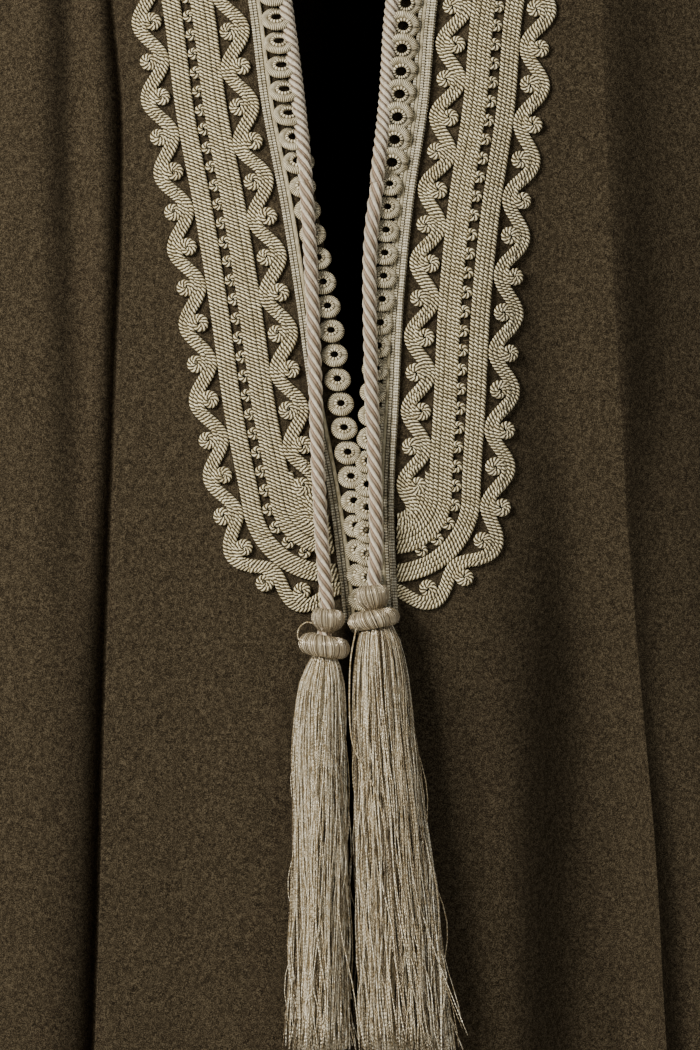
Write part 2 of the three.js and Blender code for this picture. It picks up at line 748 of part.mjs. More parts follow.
// Places round the back of the neck, from its centre to the shoulder seam.
function backNeck(side, out, steps) {
  const sign = side === 'left' ? -1 : 1;
  const reach = NECK_HALF + out;
  const drop = seamQ('back', reach) - BACK_NECK_Z + out;
  const places = [];
  for (let k = 0; k < steps; k += 1) {
    const share = k / steps;
    const x = k === 0 ? SEAM_GAP : share * reach;
    places.push({ x: sign * x, q: BACK_NECK_Z - out + drop * share ** BACK_NECK_CURVE });
  }
  return places;
}

function belowSeam(x, q) {
  return { x, q: Math.min(q, seamQ('front', x)) };
}

function borderStations(side, aOut, bOut, frontPair, qs, steps) {
  const bSides = backNeck(side, bOut, steps);
  const back = backNeck(side, aOut, steps).map((a, k) => ({ panel: 'back', a, b: bSides[k] }));
  const front = qs.map((q) => {
    const { a, b } = frontPair(q);
    return { panel: 'front', a: belowSeam(a, q), b: belowSeam(b, q) };
  });
  return [...back, ...front];
}

function downTo(low, step) {
  const top = CROWN.front.run - CROWN.front.rise;
  const count = Math.round((top - low) / step);
  return Array.from({ length: count + 1 }, (unused, k) => mix(top, low, k / count));
}

// The ring row stops short of the rope where the rope is sewn down, and of the slit's middle.
function ringSides(side, q, half) {
  const sign = side === 'left' ? -1 : 1;
  const centre = lineAt(side, 'ring', q);
  const middle = (lineAt('left', 'edge', q) + lineAt('right', 'edge', q)) / 2;
  const rope = q > ROPE.leaveZ - 6 ? sign * lineAt(side, 'rope', q) + ROPE.radius + SEAM_GAP : -Infinity;
  const inner = Math.max(sign * centre - half, rope, sign * middle + SEAM_GAP);
  return { inner: sign * inner, outer: sign * Math.max(sign * centre + half, inner + 1.6) };
}

function braidGeometry(side) {
  const sign = side === 'left' ? -1 : 1;
  const pair = (q) => {
    const outer = lineAt(side, 'braid', q);
    const ring = sign * ringSides(side, q, RING.outer).outer + SEAM_GAP;
    return { a: sign * Math.max(sign * outer - BRAID.width, ring), b: outer - sign * SEAM_GAP };
  };
  const inner = NECK_OFFSET.braid - BRAID.neckWidth;
  const qs = downTo(BRAID.lowZ, BAND_STEP);
  const stations = borderStations(side, inner, NECK_OFFSET.braid, pair, qs, BRAID.neckSteps);
  return stripGeometry(stations, BRAID.thick);
}

function ringRowGeometry(side) {
  const steps = RING.neckSteps;
  const halfAt = (k) => (k % 2 === 0 ? RING.outer : RING.joint);
  const middle = NECK_OFFSET.ring;
  const back = Array.from({ length: steps }, (unused, k) => {
    const half = halfAt(k);
    return {
      panel: 'back',
      a: backNeck(side, middle - half, steps)[k],
      b: backNeck(side, middle + half, steps)[k],
    };
  });
  const front = downTo(RING.lowZ, RING.pitch / 2).map((q, k) => {
    const { inner, outer } = ringSides(side, q, halfAt(k));
    return { panel: 'front', a: belowSeam(inner, q), b: belowSeam(outer, q) };
  });
  return stripGeometry([...back, ...front], RING.thick);
}

function tubeGeometry(points, radius, sides, step) {
  const curve = new THREE.CatmullRomCurve3(points);
  const section = new THREE.Shape(Array.from({ length: sides }, (unused, k) => {
    const turn = (2 * Math.PI * (k + 0.5)) / sides;
    return new THREE.Vector2(radius * Math.cos(turn), radius * Math.sin(turn));
  }));
  const steps = Math.round(curve.getLength() / step);
  return new THREE.ExtrudeGeometry(section, { steps, extrudePath: curve });
}

function sewnRopeGeometry(side) {
  const back = backNeck(side, NECK_OFFSET.rope, 8).map(({ x, q }) => overCloth('back', x, q, ROPE_LOW));
  const top = CROWN.front.run - CROWN.front.rise;
  const front = [];
  for (let q = top; q > ROPE.leaveZ; q -= (top - ROPE.leaveZ) / 18) {
    const climb = smooth((ROPE.leaveZ + 34 - q) / 30);
    front.push(overCloth('front', lineAt(side, 'rope', q), q, mix(ROPE_LOW, ROPE_HIGH, climb)));
  }
  front.push(overCloth('front', lineAt(side, 'rope', ROPE.leaveZ), ROPE.leaveZ, ROPE_HIGH));
  return tubeGeometry([...back, ...front], ROPE.radius, 6, ROPE.step);
}

function tieGeometry(side) {
  const points = TIE[side].map(({ x, z, lift }) => overCloth('front', x, z, lift));
  return tubeGeometry(points, ROPE.radius, ROPE.sides, ROPE.step);
}

// ---- tassels ----
function solidFrom(geometry) {
  const bare = geometry.index ? geometry.clone() : mergeVertices(geometry);
  bare.deleteAttribute('normal');
  bare.deleteAttribute('uv');
  const merged = mergeVertices(bare, 1e-4);
  const mesh = new wasm.Mesh({
    numProp: 3,
    vertProperties: new Float32Array(merged.attributes.position.array),
    triVerts: new Uint32Array(merged.index.array),
  });
  return new wasm.Manifold(mesh);
}

function geometryFrom(solid) {
  const mesh = solid.getMesh();
  const geometry = new THREE.BufferGeometry();
  geometry.setAttribute('position', new THREE.BufferAttribute(mesh.vertProperties, 3));
  geometry.setIndex(new THREE.BufferAttribute(mesh.triVerts, 1));
  return geometry;
}

// A round bead or disc about an upright axis through the origin, tilted sideways.
function beadGeometry(radius, height, tilt) {
  const profile = [new THREE.Vector2(0, -height / 2)];
  for (let k = 0; k <= 4; k += 1) {
    const turn = mix(-Math.PI / 2, Math.PI / 2, k / 4);
    const corner = height / 2;
    profile.push(new THREE.Vector2(radius - corner + corner * Math.cos(turn), corner * Math.sin(turn)));
  }
  profile.push(new THREE.Vector2(0, height / 2));
  const geometry = new THREE.LatheGeometry(profile, 10);
  geometry.rotateX(Math.PI / 2);
  geometry.rotateY(THREE.MathUtils.degToRad(tilt));
  return geometry;
}

function strandGeometry(points, radius) {
  const spots = points.flatMap((point, k) => [0, 1, 2].map((corner) => {
    const turn = (2 * Math.PI * corner) / 3 + k * 0.25;
    return new THREE.Vector3(point.x + radius * Math.cos(turn), point.y + radius * Math.sin(turn), point.z);
  }));
  const faces = [[0, 1, 2]];
  for (let k = 0; k < points.length - 1; k += 1) {
    for (let corner = 0; corner < 3; corner += 1) {
      const [a, b] = [k * 3 + corner, k * 3 + ((corner + 1) % 3)];
      faces.push([a, a + 3, b], [b, a + 3, b + 3]);
    }
  }
  const end = spots.length - 3;
  faces.push([end, end + 2, end + 1]);
  return solidGeometry(spots, faces);
}

function tasselGeometry(side) {
  const spec = TASSEL[side];
  const hangAt = (x, z) => bodyPoint('front', x, z).y - TASSEL_LIFT;
  const hang = hangAt(spec.discX, spec.discZ);
  const place = (geometry, x, z) => geometry.translate(x, hang, z);
  const beadZ = spec.beadTop - spec.beadHeight / 2;
  const bead = place(beadGeometry(spec.beadRadius, spec.beadHeight, spec.beadTilt), spec.beadX, beadZ);
  const disc = place(beadGeometry(spec.discRadius, spec.discHeight, spec.discTilt), spec.discX, spec.discZ);
  const neckHeight = beadZ - spec.discZ;
  const neck = new THREE.CylinderGeometry(2.6, 2.6, neckHeight, 8).rotateX(Math.PI / 2);
  place(neck, (spec.beadX + spec.discX) / 2, (beadZ + spec.discZ) / 2);
  const parts = [bead, disc, neck].map(solidFrom);
  const bottom = spec.skirt.at(-1).z;
  STRAND_RINGS.forEach(({ share, count }, ring) => {
    for (let k = 0; k < count; k += 1) {
      const turn = (2 * Math.PI * (k + 0.5 * ring)) / count;
      const end = bottom + 5 * Math.abs(Math.sin(2.7 * k + ring));
      const levels = [spec.discZ, spec.skirt[0].z, spec.skirt[1].z, end];
      const line = levels.map((z) => {
        const half = read(spec.skirt, 'half', z) - STRAND_RADIUS;
        const middle = read(spec.skirt, 'x', z);
        return new THREE.Vector3(
          middle + half * share * Math.cos(turn),
          Math.min(hang, hangAt(middle, z)) + Math.min(half, 10.6) * share * Math.sin(turn),
          z,
        );
      });
      parts.push(solidFrom(strandGeometry(line, STRAND_RADIUS)));
    }
  });
  return geometryFrom(parts.reduce((whole, solid) => whole.add(solid)));
}

// ---- the garment ----
const abaya = new THREE.Group();

function add(name, geometry, look) {
  const mesh = new THREE.Mesh(geometry, new THREE.MeshStandardMaterial(look));
  mesh.name = name;
  abaya.add(mesh);
}

const front = frontSheet();
const back = backSheet();
add('front', panelGeometry('front', front), CLOTH_LOOK);
add('back', panelGeometry('back', back), CLOTH_LOOK);
for (const side of ['left', 'right']) {
  add(`sleeve_${side}`, sleeveGeometry(side, front.armhole[side], back.armhole[side]), CLOTH_LOOK);
  add(`outer_scroll_${side}`, scrollGeometry(side, OUTER_SCROLL), CORD_LOOK);
  add(`outer_band_${side}`, bandGeometry(side, OUTER_BAND), CORD_LOOK);
  add(`inner_band_${side}`, bandGeometry(side, INNER_BAND), CORD_LOOK);
  add(`inner_scroll_${side}`, scrollGeometry(side, INNER_SCROLL), CORD_LOOK);
  add(`edge_braid_${side}`, braidGeometry(side), CORD_LOOK);
  add(`ring_row_${side}`, ringRowGeometry(side), CORD_LOOK);
  add(`rope_${side}`, sewnRopeGeometry(side), CORD_LOOK);
  add(`tie_${side}`, tieGeometry(side), CORD_LOOK);
  add(`tassel_${side}`, tasselGeometry(side), SILK_LOOK);
}

export default abaya;
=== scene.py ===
import math

import bpy
import numpy as np
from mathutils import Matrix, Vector


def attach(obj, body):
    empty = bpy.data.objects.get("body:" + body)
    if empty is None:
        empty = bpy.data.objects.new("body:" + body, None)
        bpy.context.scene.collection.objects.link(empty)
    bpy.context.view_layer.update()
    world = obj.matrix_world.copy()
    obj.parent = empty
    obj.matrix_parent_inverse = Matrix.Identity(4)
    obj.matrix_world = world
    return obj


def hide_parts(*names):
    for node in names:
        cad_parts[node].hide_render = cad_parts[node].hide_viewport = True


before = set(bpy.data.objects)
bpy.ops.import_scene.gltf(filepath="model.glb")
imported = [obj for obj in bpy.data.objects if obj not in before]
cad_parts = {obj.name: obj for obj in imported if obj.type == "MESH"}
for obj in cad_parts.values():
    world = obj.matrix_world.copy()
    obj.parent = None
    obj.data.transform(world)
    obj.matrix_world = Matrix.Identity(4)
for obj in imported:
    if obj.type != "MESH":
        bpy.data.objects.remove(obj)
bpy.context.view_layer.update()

# A worn abaya of heathered wool flannel: couched-cord embroidery down both sides of a deep slit, rows
# of crocheted rings, and two twisted ropes that leave the slit's edge and hang down to tassels.
# Lengths below are in millimetres, in the part's own frame; MM takes them to metres.
MM = 0.001
RANDOM = np.random.default_rng(71)
SIDES = ("left", "right")
SIGN = {"left": -1, "right": 1}


# ---- the garment's form ----
def table(names, *rows):
    """A table of rows whose first value, z, falls from row to row."""
    return dict(zip(("z", *names.split()), np.array(rows, float).T))


def crease(width, *rows):
    """A soft trough down the cloth: its width, then z, x and depth. A negative depth is a ridge."""
    return width, table("x depth", *rows)


WALL = 2.0
SEAM_GAP = 0.3
FOLD_FADE = 2.2
NECK_HALF = 68.0
TIP_HALF = 205.0
TIP_DROP = 48.0
UNDERARM_Z = -260.0
SLIT_END_Z = -400.0
TURN_Z = -352.4
HEM_Z = -1380.0
BACK_NECK_Z = -18.0
BACK_NECK_CURVE = 2.6
SECTION_POWER = 2.3
CROWN = {"front": (110.0, 154.0), "back": (90.0, 127.0)}

BODY = table(
    "half front back",
    (0, 250, 84, 68),
    (-100, 245, 90, 84),
    (-180, 235, 98, 93),
    (-230, 224, 103, 94),
    (-260, 218, 105, 93),
    (-320, 223, 106, 91),
    (-400, 235, 106, 90),
    (-600, 262, 110, 96),
    (-800, 290, 120, 110),
    (-1100, 336, 146, 144),
    (-1380, 385, 176, 182),
)
ARMHOLE = table(
    "half", (-11, 205), (-60, 193), (-120, 187), (-180, 191), (-230, 205), (-260, 218)
)
SLIT = {
    "left": table(
        "edge rope ring braid",
        (44, -68, -69, -76.5, -85),
        (0, -60, -61, -68.5, -77.5),
        (-50, -48.5, -49.5, -57, -66),
        (-100, -38, -39, -45.5, -54.5),
        (-154, -29, -30, -36, -44.8),
        (-194, -23.5, -24.8, -31.5, -39.6),
        (-234, -17.5, -21.2, -22, -32),
        (-274, -10.5, -19.2, -13.6, -25.6),
        (-314, -5, -17.8, -8, -20),
        (-354, -0.6, -16.4, -2.6, -12.4),
        (-400, 2.4, -14, 0.8, -6.6),
    ),
    "right": table(
        "edge rope ring braid",
        (44, 68, 69, 76.5, 85),
        (0, 52, 53, 60.5, 69.5),
        (-50, 35, 36, 43.5, 54),
        (-100, 22, 23, 29.5, 41),
        (-154, 12, 13, 18.4, 31.2),
        (-194, 9, 10.2, 15.6, 27.6),
        (-234, 6.5, 6, 11.2, 21.6),
        (-274, 5, 3.7, 8.8, 17.6),
        (-314, 2.9, 4.4, 5, 15.6),
        (-354, 2.2, 6, 2.8, 13.6),
        (-400, 2.4, 7, 3.4, 15.3),
    ),
}
# Laps: the way the edge faces, how far on the cloth rises again, and how much of the depth its lip
# stands up before the edge. Fall: how soon the cloth drops past it. Round: 1 for a crisp edge, 2 soft.
LAPS = {
    "left": {
        "toward": -1,
        "rise": 8,
        "lip": (0.06, 9),
        "rows": table(
            "x depth fall round",
            (44, -112, 0, 0.6, 1),
            (-80, -106, 10, 0.6, 1),
            (-154, -98.8, 19, 0.5, 1),
            (-200, -95, 20, 0.5, 1),
            (-314, -98, 21, 0.5, 1),
            (-424, -102, 22, 0.5, 1),
            (-574, -106.4, 24, 0.5, 1),
            (-1380, -150, 26, 0.8, 1),
        ),
    },
    "right": {
        "toward": 1,
        "rise": 46,
        "lip": (0.2, 15),
        "rows": table(
            "x depth fall round",
            (44, 122, 0, 18, 2),
            (-80, 101, 10, 22, 2),
            (-154, 98, 15, 22, 2),
            (-248, 101, 16, 20, 2),
            (-300, 104, 16, 17, 1.8),
            (-362, 107.6, 15, 16, 1.3),
            (-426, 113.5, 22, 15, 1.1),
            (-497, 120, 30, 13, 1),
            (-574, 124.4, 33, 12, 1),
            (-900, 151, 16, 10, 1),
            (-1380, 185, 9, 10, 1),
        ),
    },
}
FRONT_TROUGHS = [
    crease(
        17,
        (44, 96, 0), (-200, 76, 0), (-274, 76.5, 5), (-334, 78.4, 9),
        (-394, 79, 14), (-474, 81, 19), (-574, 83, 23), (-1380, 116, 34),
    ),
    crease(12, (44, 50, 0), (-405, 49, 0), (-450, 49.6, 3), (-574, 50, 4), (-1380, 60, 6)),
    crease(26, (44, -30, 0), (-560, -38, 0), (-900, -44, 12), (-1380, -54, 24)),
    crease(34, (44, -160, 0), (-420, -176, 0), (-800, -208, 14), (-1380, -268, 26)),
    crease(34, (44, 165, 0), (-460, 186, 0), (-800, 216, 12), (-1380, 284, 24)),
]
BACK_TROUGHS = [
    crease(
        width,
        (44, x, 0),
        (-330, x, 0),
        (-800, x + math.copysign(spread * 0.45, x), depth * 0.55),
        (HEM_Z, x + math.copysign(spread, x), depth),
    )
    for x, spread, depth, width in (
        (-178, 92, 24, 34),
        (-84, 36, 26, 28),
        (8, 6, 22, 30),
        (92, 44, 27, 26),
        (184, 88, 22, 36),
    )
]
# Uneven creases of the soft cloth. The last two of the front are the deep valley beside the right lap
# and the ridge on its near side.
SOFT_FRONT = [
    crease(8, (44, -124, 3), (-154, -117, 9), (-214, -116, 10), (-300, -114, 8), (-420, -116, 1)),
    crease(9, (-100, -150, 0), (-150, -144, 4), (-190, -146, 1), (-230, -148, 0)),
    crease(16, (-360, 20, 0), (-480, 26, 1.5), (-700, 30, 2.5), (-1380, 30, 0)),
    crease(12, (-380, -70, 0), (-470, -68, 1), (-650, -72, 1.8), (-1000, -80, 0)),
    crease(10, (-200, 150, 0), (-330, 148, 2), (-520, 158, 3), (-900, 170, 0)),
    crease(
        22,
        (-310, 98, 0), (-350, 102, 4), (-394, 101, 11), (-426, 103, 19), (-458, 105.6, 24),
        (-522, 109, 29), (-574, 112, 31), (-900, 124, 8), (-1380, 150, 0),
    ),
    crease(
        12.5,
        (-310, 70, 0), (-350, 72, -4), (-394, 74, -6), (-458, 76, -4),
        (-574, 78, -3), (-900, 92, -2), (-1380, 110, 0),
    ),
]
SOFT_BACK = [
    crease(18, (0, -40, 0), (-160, -44, 2), (-420, -46, 3), (-760, -52, 0)),
    crease(16, (0, 52, 0), (-200, 58, 2.5), (-480, 60, 2), (-820, 66, 0)),
    crease(14, (-120, -128, 0), (-260, -132, 3), (-560, -138, 2), (-900, -150, 0)),
    crease(14, (-140, 132, 0), (-300, 136, 2), (-620, 142, 3), (-980, 152, 0)),
]


def mix(a, b, t):
    return a + (b - a) * t


def smooth(t):
    s = np.clip(t, 0, 1)
    return s * s * (3 - 2 * s)


def read(rows, column, z):
    """A column of a table at each z, on a smooth curve through its rows."""
    zs, values = rows["z"], rows[column]
    z = np.clip(np.asarray(z, float), zs[-1], zs[0])
    i = np.clip(np.searchsorted(-zs, -z, side="right") - 1, 0, len(zs) - 2)
    slopes = np.diff(values) / np.diff(zs)
    here = slopes[i]
    before = (here + slopes[np.maximum(i - 1, 0)]) / 2
    after = (here + slopes[np.minimum(i + 1, len(slopes) - 1)]) / 2
    span = zs[i + 1] - zs[i]
    t = (z - zs[i]) / span
    rise = values[i + 1] - values[i]
    bend = (before * span - rise) * (1 - t) + (rise - after * span) * t
    return values[i] + rise * t + t * (1 - t) * bend


def line(side, column, q):
    return read(SLIT[side], column, q)


def trough(width, rows, x, q):
    return -read(rows, "depth", q) * np.exp(-(((x - read(rows, "x", q)) / width) ** 2))


def lap(fold, x, q):
    """A crisp fold edge: the cloth is set back past it and stands up a little before it."""
    past = (x - read(fold["rows"], "x", q)) * fold["toward"]
    depth, fall, soft = [read(fold["rows"], name, q) for name in ("depth", "fall", "round")]
    away = np.maximum(past, 0)
    back = -depth * (1 - np.exp(-((away / fall) ** soft))) * np.exp(-away / fold["rise"])
    height, fade = fold["lip"]
    lip = height * depth
    before = lip * np.exp(np.minimum(past, 0) / fade)
    return np.where(past > 0, back + lip * np.exp(-away / fall), before)


def folds(panel, x, q):
    if panel == "back":
        return sum(trough(width, rows, x, q) for width, rows in BACK_TROUGHS + SOFT_BACK)
    height = sum(lap(fold, x, q) for fold in LAPS.values())
    return height + sum(trough(width, rows, x, q) for width, rows in FRONT_TROUGHS + SOFT_FRONT)


def shoulder_z(x):
    return -TIP_DROP * np.maximum(0, np.abs(x) - NECK_HALF) / (TIP_HALF - NECK_HALF)


def seam_q(panel, x):
    rise, run = CROWN[panel]
    return shoulder_z(x) + run - rise


def body_point(panel, x, q):
    """A place on a panel. x runs across the cloth and q down it; above the crown q follows the cloth."""
    x, q = np.broadcast_arrays(np.asarray(x, float), np.asarray(q, float))
    rise, run = CROWN[panel]
    top = shoulder_z(x) - rise
    above = q - top
    turn = (math.pi / 2) * (1 - np.clip(above / run, 0, 1))
    z = np.where(above > 0, top + rise * np.cos(turn), q)
    round_over = np.where(above > 0, np.sin(turn), 1)
    share = np.clip(np.abs(x) / read(BODY, "half", z), 0, 1)
    side = (1 - share**SECTION_POWER) ** (1 / SECTION_POWER)
    fold = folds(panel, x, q) * smooth(side * FOLD_FADE)
    depth = (read(BODY, panel, z) * side + fold) * round_over + SEAM_GAP / 2
    return np.stack([x, -depth if panel == "front" else depth, z], -1)


def unit(vectors):
    return vectors / np.maximum(np.linalg.norm(vectors, axis=-1, keepdims=True), 1e-9)


def body_normal(panel, x, q):
    step = 0.5
    at = np.minimum(q, seam_q(panel, x) - step)
    across = body_point(panel, x + step, at) - body_point(panel, x - step, at)
    down = body_point(panel, x, at - step) - body_point(panel, x, at + step)
    normal = unit(np.cross(across, down))
    return -normal if panel == "front" else normal


def over_cloth(panel, x, q, lift):
    x, q = np.asarray(x, float), np.asarray(q, float)
    return body_point(panel, x, q) + body_normal(panel, x, q) * np.asarray(lift)[..., None]


# ---- meshes ----
def cells(grid):
    """The four corners of every cell of a grid, in order round it."""
    return [grid[:-1, :-1], grid[:-1, 1:], grid[1:, 1:], grid[1:, :-1]]


def grid_quads(index):
    return np.stack(cells(index), -1).reshape(-1, 4)


class Shape:
    """Collects tubes into one mesh. Its UV layer runs from 0 to 1 around, and along in millimetres."""

    def __init__(self):
        self.points, self.faces, self.uvs, self.count = [], [], [], 0

    def grid(self, points, along):
        """A tube: rows of points along it, each row closed, with flat ends."""
        rows, columns = points.shape[:2]
        index = self.count + np.arange(rows * columns).reshape(rows, columns)
        index = np.column_stack([index, index[:, 0]])
        u = np.broadcast_to(np.arange(columns + 1) / columns, (rows, columns + 1))
        v = np.broadcast_to(along[:, None], (rows, columns + 1))
        self.faces += grid_quads(index).tolist()
        self.uvs.append(np.stack(cells(np.stack([u, v], -1)), -2).reshape(-1, 2))
        for end in (index[0, -2::-1], index[-1, :-1]):
            self.faces.append(end.tolist())
            self.uvs.append(np.zeros((columns, 2)))
        self.points.append(points.reshape(-1, 3))
        self.count += rows * columns

    def build(self, name):
        return make_object(name, np.concatenate(self.points), self.faces, np.concatenate(self.uvs))


def make_object(name, points, faces, uvs=None):
    mesh = bpy.data.meshes.new(name)
    mesh.from_pydata((points * MM).tolist(), [], faces)
    if uvs is not None:
        layer = mesh.uv_layers.new(name="run")
        layer.data.foreach_set("uv", uvs.astype(np.float32).ravel())
    mesh.polygons.foreach_set("use_smooth", np.ones(len(mesh.polygons), bool))
    mesh.update()
    obj = bpy.data.objects.new(name, mesh)
    bpy.context.scene.collection.objects.link(obj)
    return obj


def runs(points):
    """How far along a line each of its points is."""
    steps = np.linalg.norm(np.diff(points, axis=0), axis=1)
    return np.concatenate([[0], np.cumsum(steps)])


def between(points, run, at):
    """Values on a line of points, at places given as how far along it they are."""
    return np.stack([np.interp(at, run, points[:, k]) for k in range(points.shape[1])], -1)


def resample(points, step):
    """Places at equal steps along a line of points."""
    run = runs(points)
    count = max(2, int(round(run[-1] / step)) + 1)
    return between(points, run, np.linspace(0, run[-1], count))


def circle(count):
    return 2 * math.pi * np.arange(count) / count


def tube_frame(centre, up):
    along = unit(np.gradient(centre, axis=0))
    side = unit(np.cross(up, along))
    return side, np.cross(along, side)


def tube(shape, centre, up, wide, high, sides, ribbed=True):
    """A plain cord along a line, with half width and half height. One not ribbed has no run along it."""
    side, top = tube_frame(centre, up)
    turn = circle(sides)
    wide = np.broadcast_to(wide, len(centre))[:, None, None]
    high = np.broadcast_to(high, len(centre))[:, None, None]
    ring = centre[:, None] + wide * np.cos(turn)[:, None] * side[:, None]
    ring = ring + high * np.sin(turn)[:, None] * top[:, None]
    along = runs(centre) if ribbed else np.full(len(centre), BEAD / 2)
    shape.grid(ring, along)


def thicken(points, quads, inward):
    """Closes an open sheet: its inner side, and a strip along every free edge."""
    count = len(points)
    edges = np.concatenate([quads[:, [k, (k + 1) % 4]] for k in range(4)])
    key = edges.min(1) * count + edges.max(1)
    keys, counts = np.unique(key, return_counts=True)
    rim = edges[np.isin(key, keys[counts == 1])]
    strip = np.column_stack([rim[:, 1], rim[:, 0], rim[:, 0] + count, rim[:, 1] + count])
    inner = points + inward * WALL
    faces = np.concatenate([quads, quads[:, ::-1] + count, strip])
    return np.concatenate([points, inner]), faces.tolist()


# ---- cloth ----
SKIRT_Z = -620.0
# The cloth's mesh. Rows: above the underarm, the step below it, and down the skirt. Columns: from the
# slit to a lap's edge, close past the edge, on to the side, and across the back.
ROWS = {"upper": 61, "step": 5.0, "skirt": 44}
COLUMNS = {"to_edge": 32, "past_edge": 13, "to_side": 28, "back": 83}
PAST_EDGE = {"reach": 15, "first": 0.13}


def outer_half(q):
    return np.where(q > UNDERARM_Z, read(ARMHOLE, "half", q), read(BODY, "half", q))


def cloth_rows(panel):
    """Each row's height at its inner and its outer end: apart above the underarm, level below it."""
    share = np.linspace(0, 1, ROWS["upper"])
    upper_inner = mix(seam_q(panel, NECK_HALF), UNDERARM_Z, share)
    upper_outer = mix(seam_q(panel, TIP_HALF), UNDERARM_Z, share)
    step = ROWS["step"]
    skirt = np.linspace(SKIRT_Z, HEM_Z, ROWS["skirt"])
    lower = np.concatenate([np.arange(UNDERARM_Z - step, SKIRT_Z, -step), skirt])
    return np.concatenate([upper_inner, lower]), np.concatenate([upper_outer, lower])


def front_half(side):
    """Places across and down one half of the front, closest together at its fold edge."""
    sign = SIGN[side]
    inner_q, outer_q = cloth_rows("front")
    below = np.clip((SLIT_END_Z - inner_q) / (SLIT_END_Z - HEM_Z), 0, 1)
    slit = line(side, "edge", inner_q)
    inner = np.where(inner_q > SLIT_END_Z, slit, slit[-1] * (1 - below))
    outer = sign * outer_half(outer_q)
    rows = LAPS[side]["rows"]
    fold = read(rows, "x", inner_q)
    level = mix(inner_q, outer_q, (fold - inner) / (outer - inner))
    fold = read(rows, "x", level)
    to_edge = 1 - (1 - np.linspace(0, 1, COLUMNS["to_edge"])) ** 1.5
    near = PAST_EDGE["reach"] * np.linspace(PAST_EDGE["first"], 1, COLUMNS["past_edge"]) ** 2
    away = np.linspace(0, 1, COLUMNS["to_side"])[1:]
    first = mix(inner[:, None], fold[:, None], to_edge)
    second = fold[:, None] + sign * near
    third = mix(second[:, -1:], outer[:, None], away)
    x = np.concatenate([first, second, third], 1)
    q = mix(inner_q[:, None], outer_q[:, None], (x - inner[:, None]) / (outer - inner)[:, None])
    return x, np.minimum(q, seam_q("front", x))


def cloth_object(name, panel, x, q, quads):
    points = body_point(panel, x, q).reshape(-1, 3)
    normal = body_normal(panel, x, q)
    seam = np.zeros(x.shape, bool)
    seam[0] = np.abs(x[0]) >= NECK_HALF - 1
    seam[:, [0, -1]] |= q[:, [0, -1]] <= UNDERARM_Z
    normal[seam, 1] = 0
    inward = -unit(normal).reshape(-1, 3)
    used, order = np.unique(quads, return_inverse=True)
    quads = order.reshape(quads.shape)
    shell, faces = thicken(points[used], quads, inward[used])
    return make_object(name, shell, faces)


def make_front():
    left_x, left_q = front_half("left")
    right_x, right_q = front_half("right")
    x = np.concatenate([left_x[:, ::-1], right_x], 1)
    q = np.concatenate([left_q[:, ::-1], right_q], 1)
    rows, columns = x.shape
    middle = left_x.shape[1]
    index = np.arange(rows * columns).reshape(rows, columns)
    joined = cloth_rows("front")[0] <= SLIT_END_Z + 0.01
    index[joined, middle] = index[joined, middle - 1]
    left = grid_quads(index[:, :middle])
    right = grid_quads(index[:, middle:])
    quads = np.concatenate([left, right])[:, ::-1]
    return cloth_object("front_cloth", "front", x, q, quads)


def make_back():
    outer_q = cloth_rows("back")[1]
    neck = NECK_HALF / TIP_HALF
    share = np.linspace(-1, 1, COLUMNS["back"])
    away = np.abs(share)
    dip = mix(BACK_NECK_Z, seam_q("back", 0.0), (away / neck) ** BACK_NECK_CURVE)
    top = np.where(away < neck, dip, seam_q("back", away * TIP_HALF))
    down = (outer_q - outer_q[0]) / (UNDERARM_Z - outer_q[0])
    upper = mix(top[None], UNDERARM_Z, np.clip(down, 0, 1)[:, None])
    q = np.where(outer_q[:, None] > UNDERARM_Z, upper, outer_q[:, None])
    x = share[None] * outer_half(outer_q)[:, None]
    q = np.minimum(q, seam_q("back", x))
    index = np.arange(x.size).reshape(x.shape)
    return cloth_object("back_cloth", "back", x, q, grid_quads(index))


# Rings down a sleeve, numbered downward from 0: the top's x and z, the underside's x and z, half the
# depth, and how closely the ring is held to the armhole.
SLEEVE = table(
    "top_x top_z low_x low_z half held",
    (0, 205, -48, 218, -260, 60, 1),
    (-1, 221, -60, 226, -268, 63, 0.55),
    (-2, 243, -88, 238, -300, 66, 0.2),
    (-3, 270, -134, 251, -348, 66, 0),
    (-4, 304, -196, 267, -402, 65, 0),
    (-5, 344, -270, 285, -458, 62, 0),
    (-6, 396, -366, 303, -526, 64, 0),
    (-7, 450, -466, 322, -596, 69, 0),
    (-8, 505, -568, 340, -663, 76, 0),
)
SLEEVE_MESH = {"around": 88, "along": 84}
SLEEVE_GAP = 0.45
# Ripples of a sleeve: height, and turns around it and along it. The elbow's lie about one ring.
RIPPLE = {"height": 3.0, "around": 3, "along": 1.3}
ELBOW = {"height": 2.2, "around": 5, "along": 2.1, "ring": 4.4, "reach": 1.1}


def armhole_loop(side, count):
    """The armhole's edge: from the shoulder down its front to the underarm and up its back."""
    sign = SIGN[side]
    loop = []
    for panel in ("front", "back"):
        q = mix(seam_q(panel, TIP_HALF), UNDERARM_Z, np.linspace(0, 1, count // 2 + 1))
        x = sign * outer_half(q)
        edge = body_point(panel, x, np.minimum(q, seam_q(panel, x)))
        loop.append(edge[:-1] if panel == "front" else edge[:0:-1])
    edge = np.concatenate(loop)
    return edge + np.array([sign * SLEEVE_GAP, 0, 0])


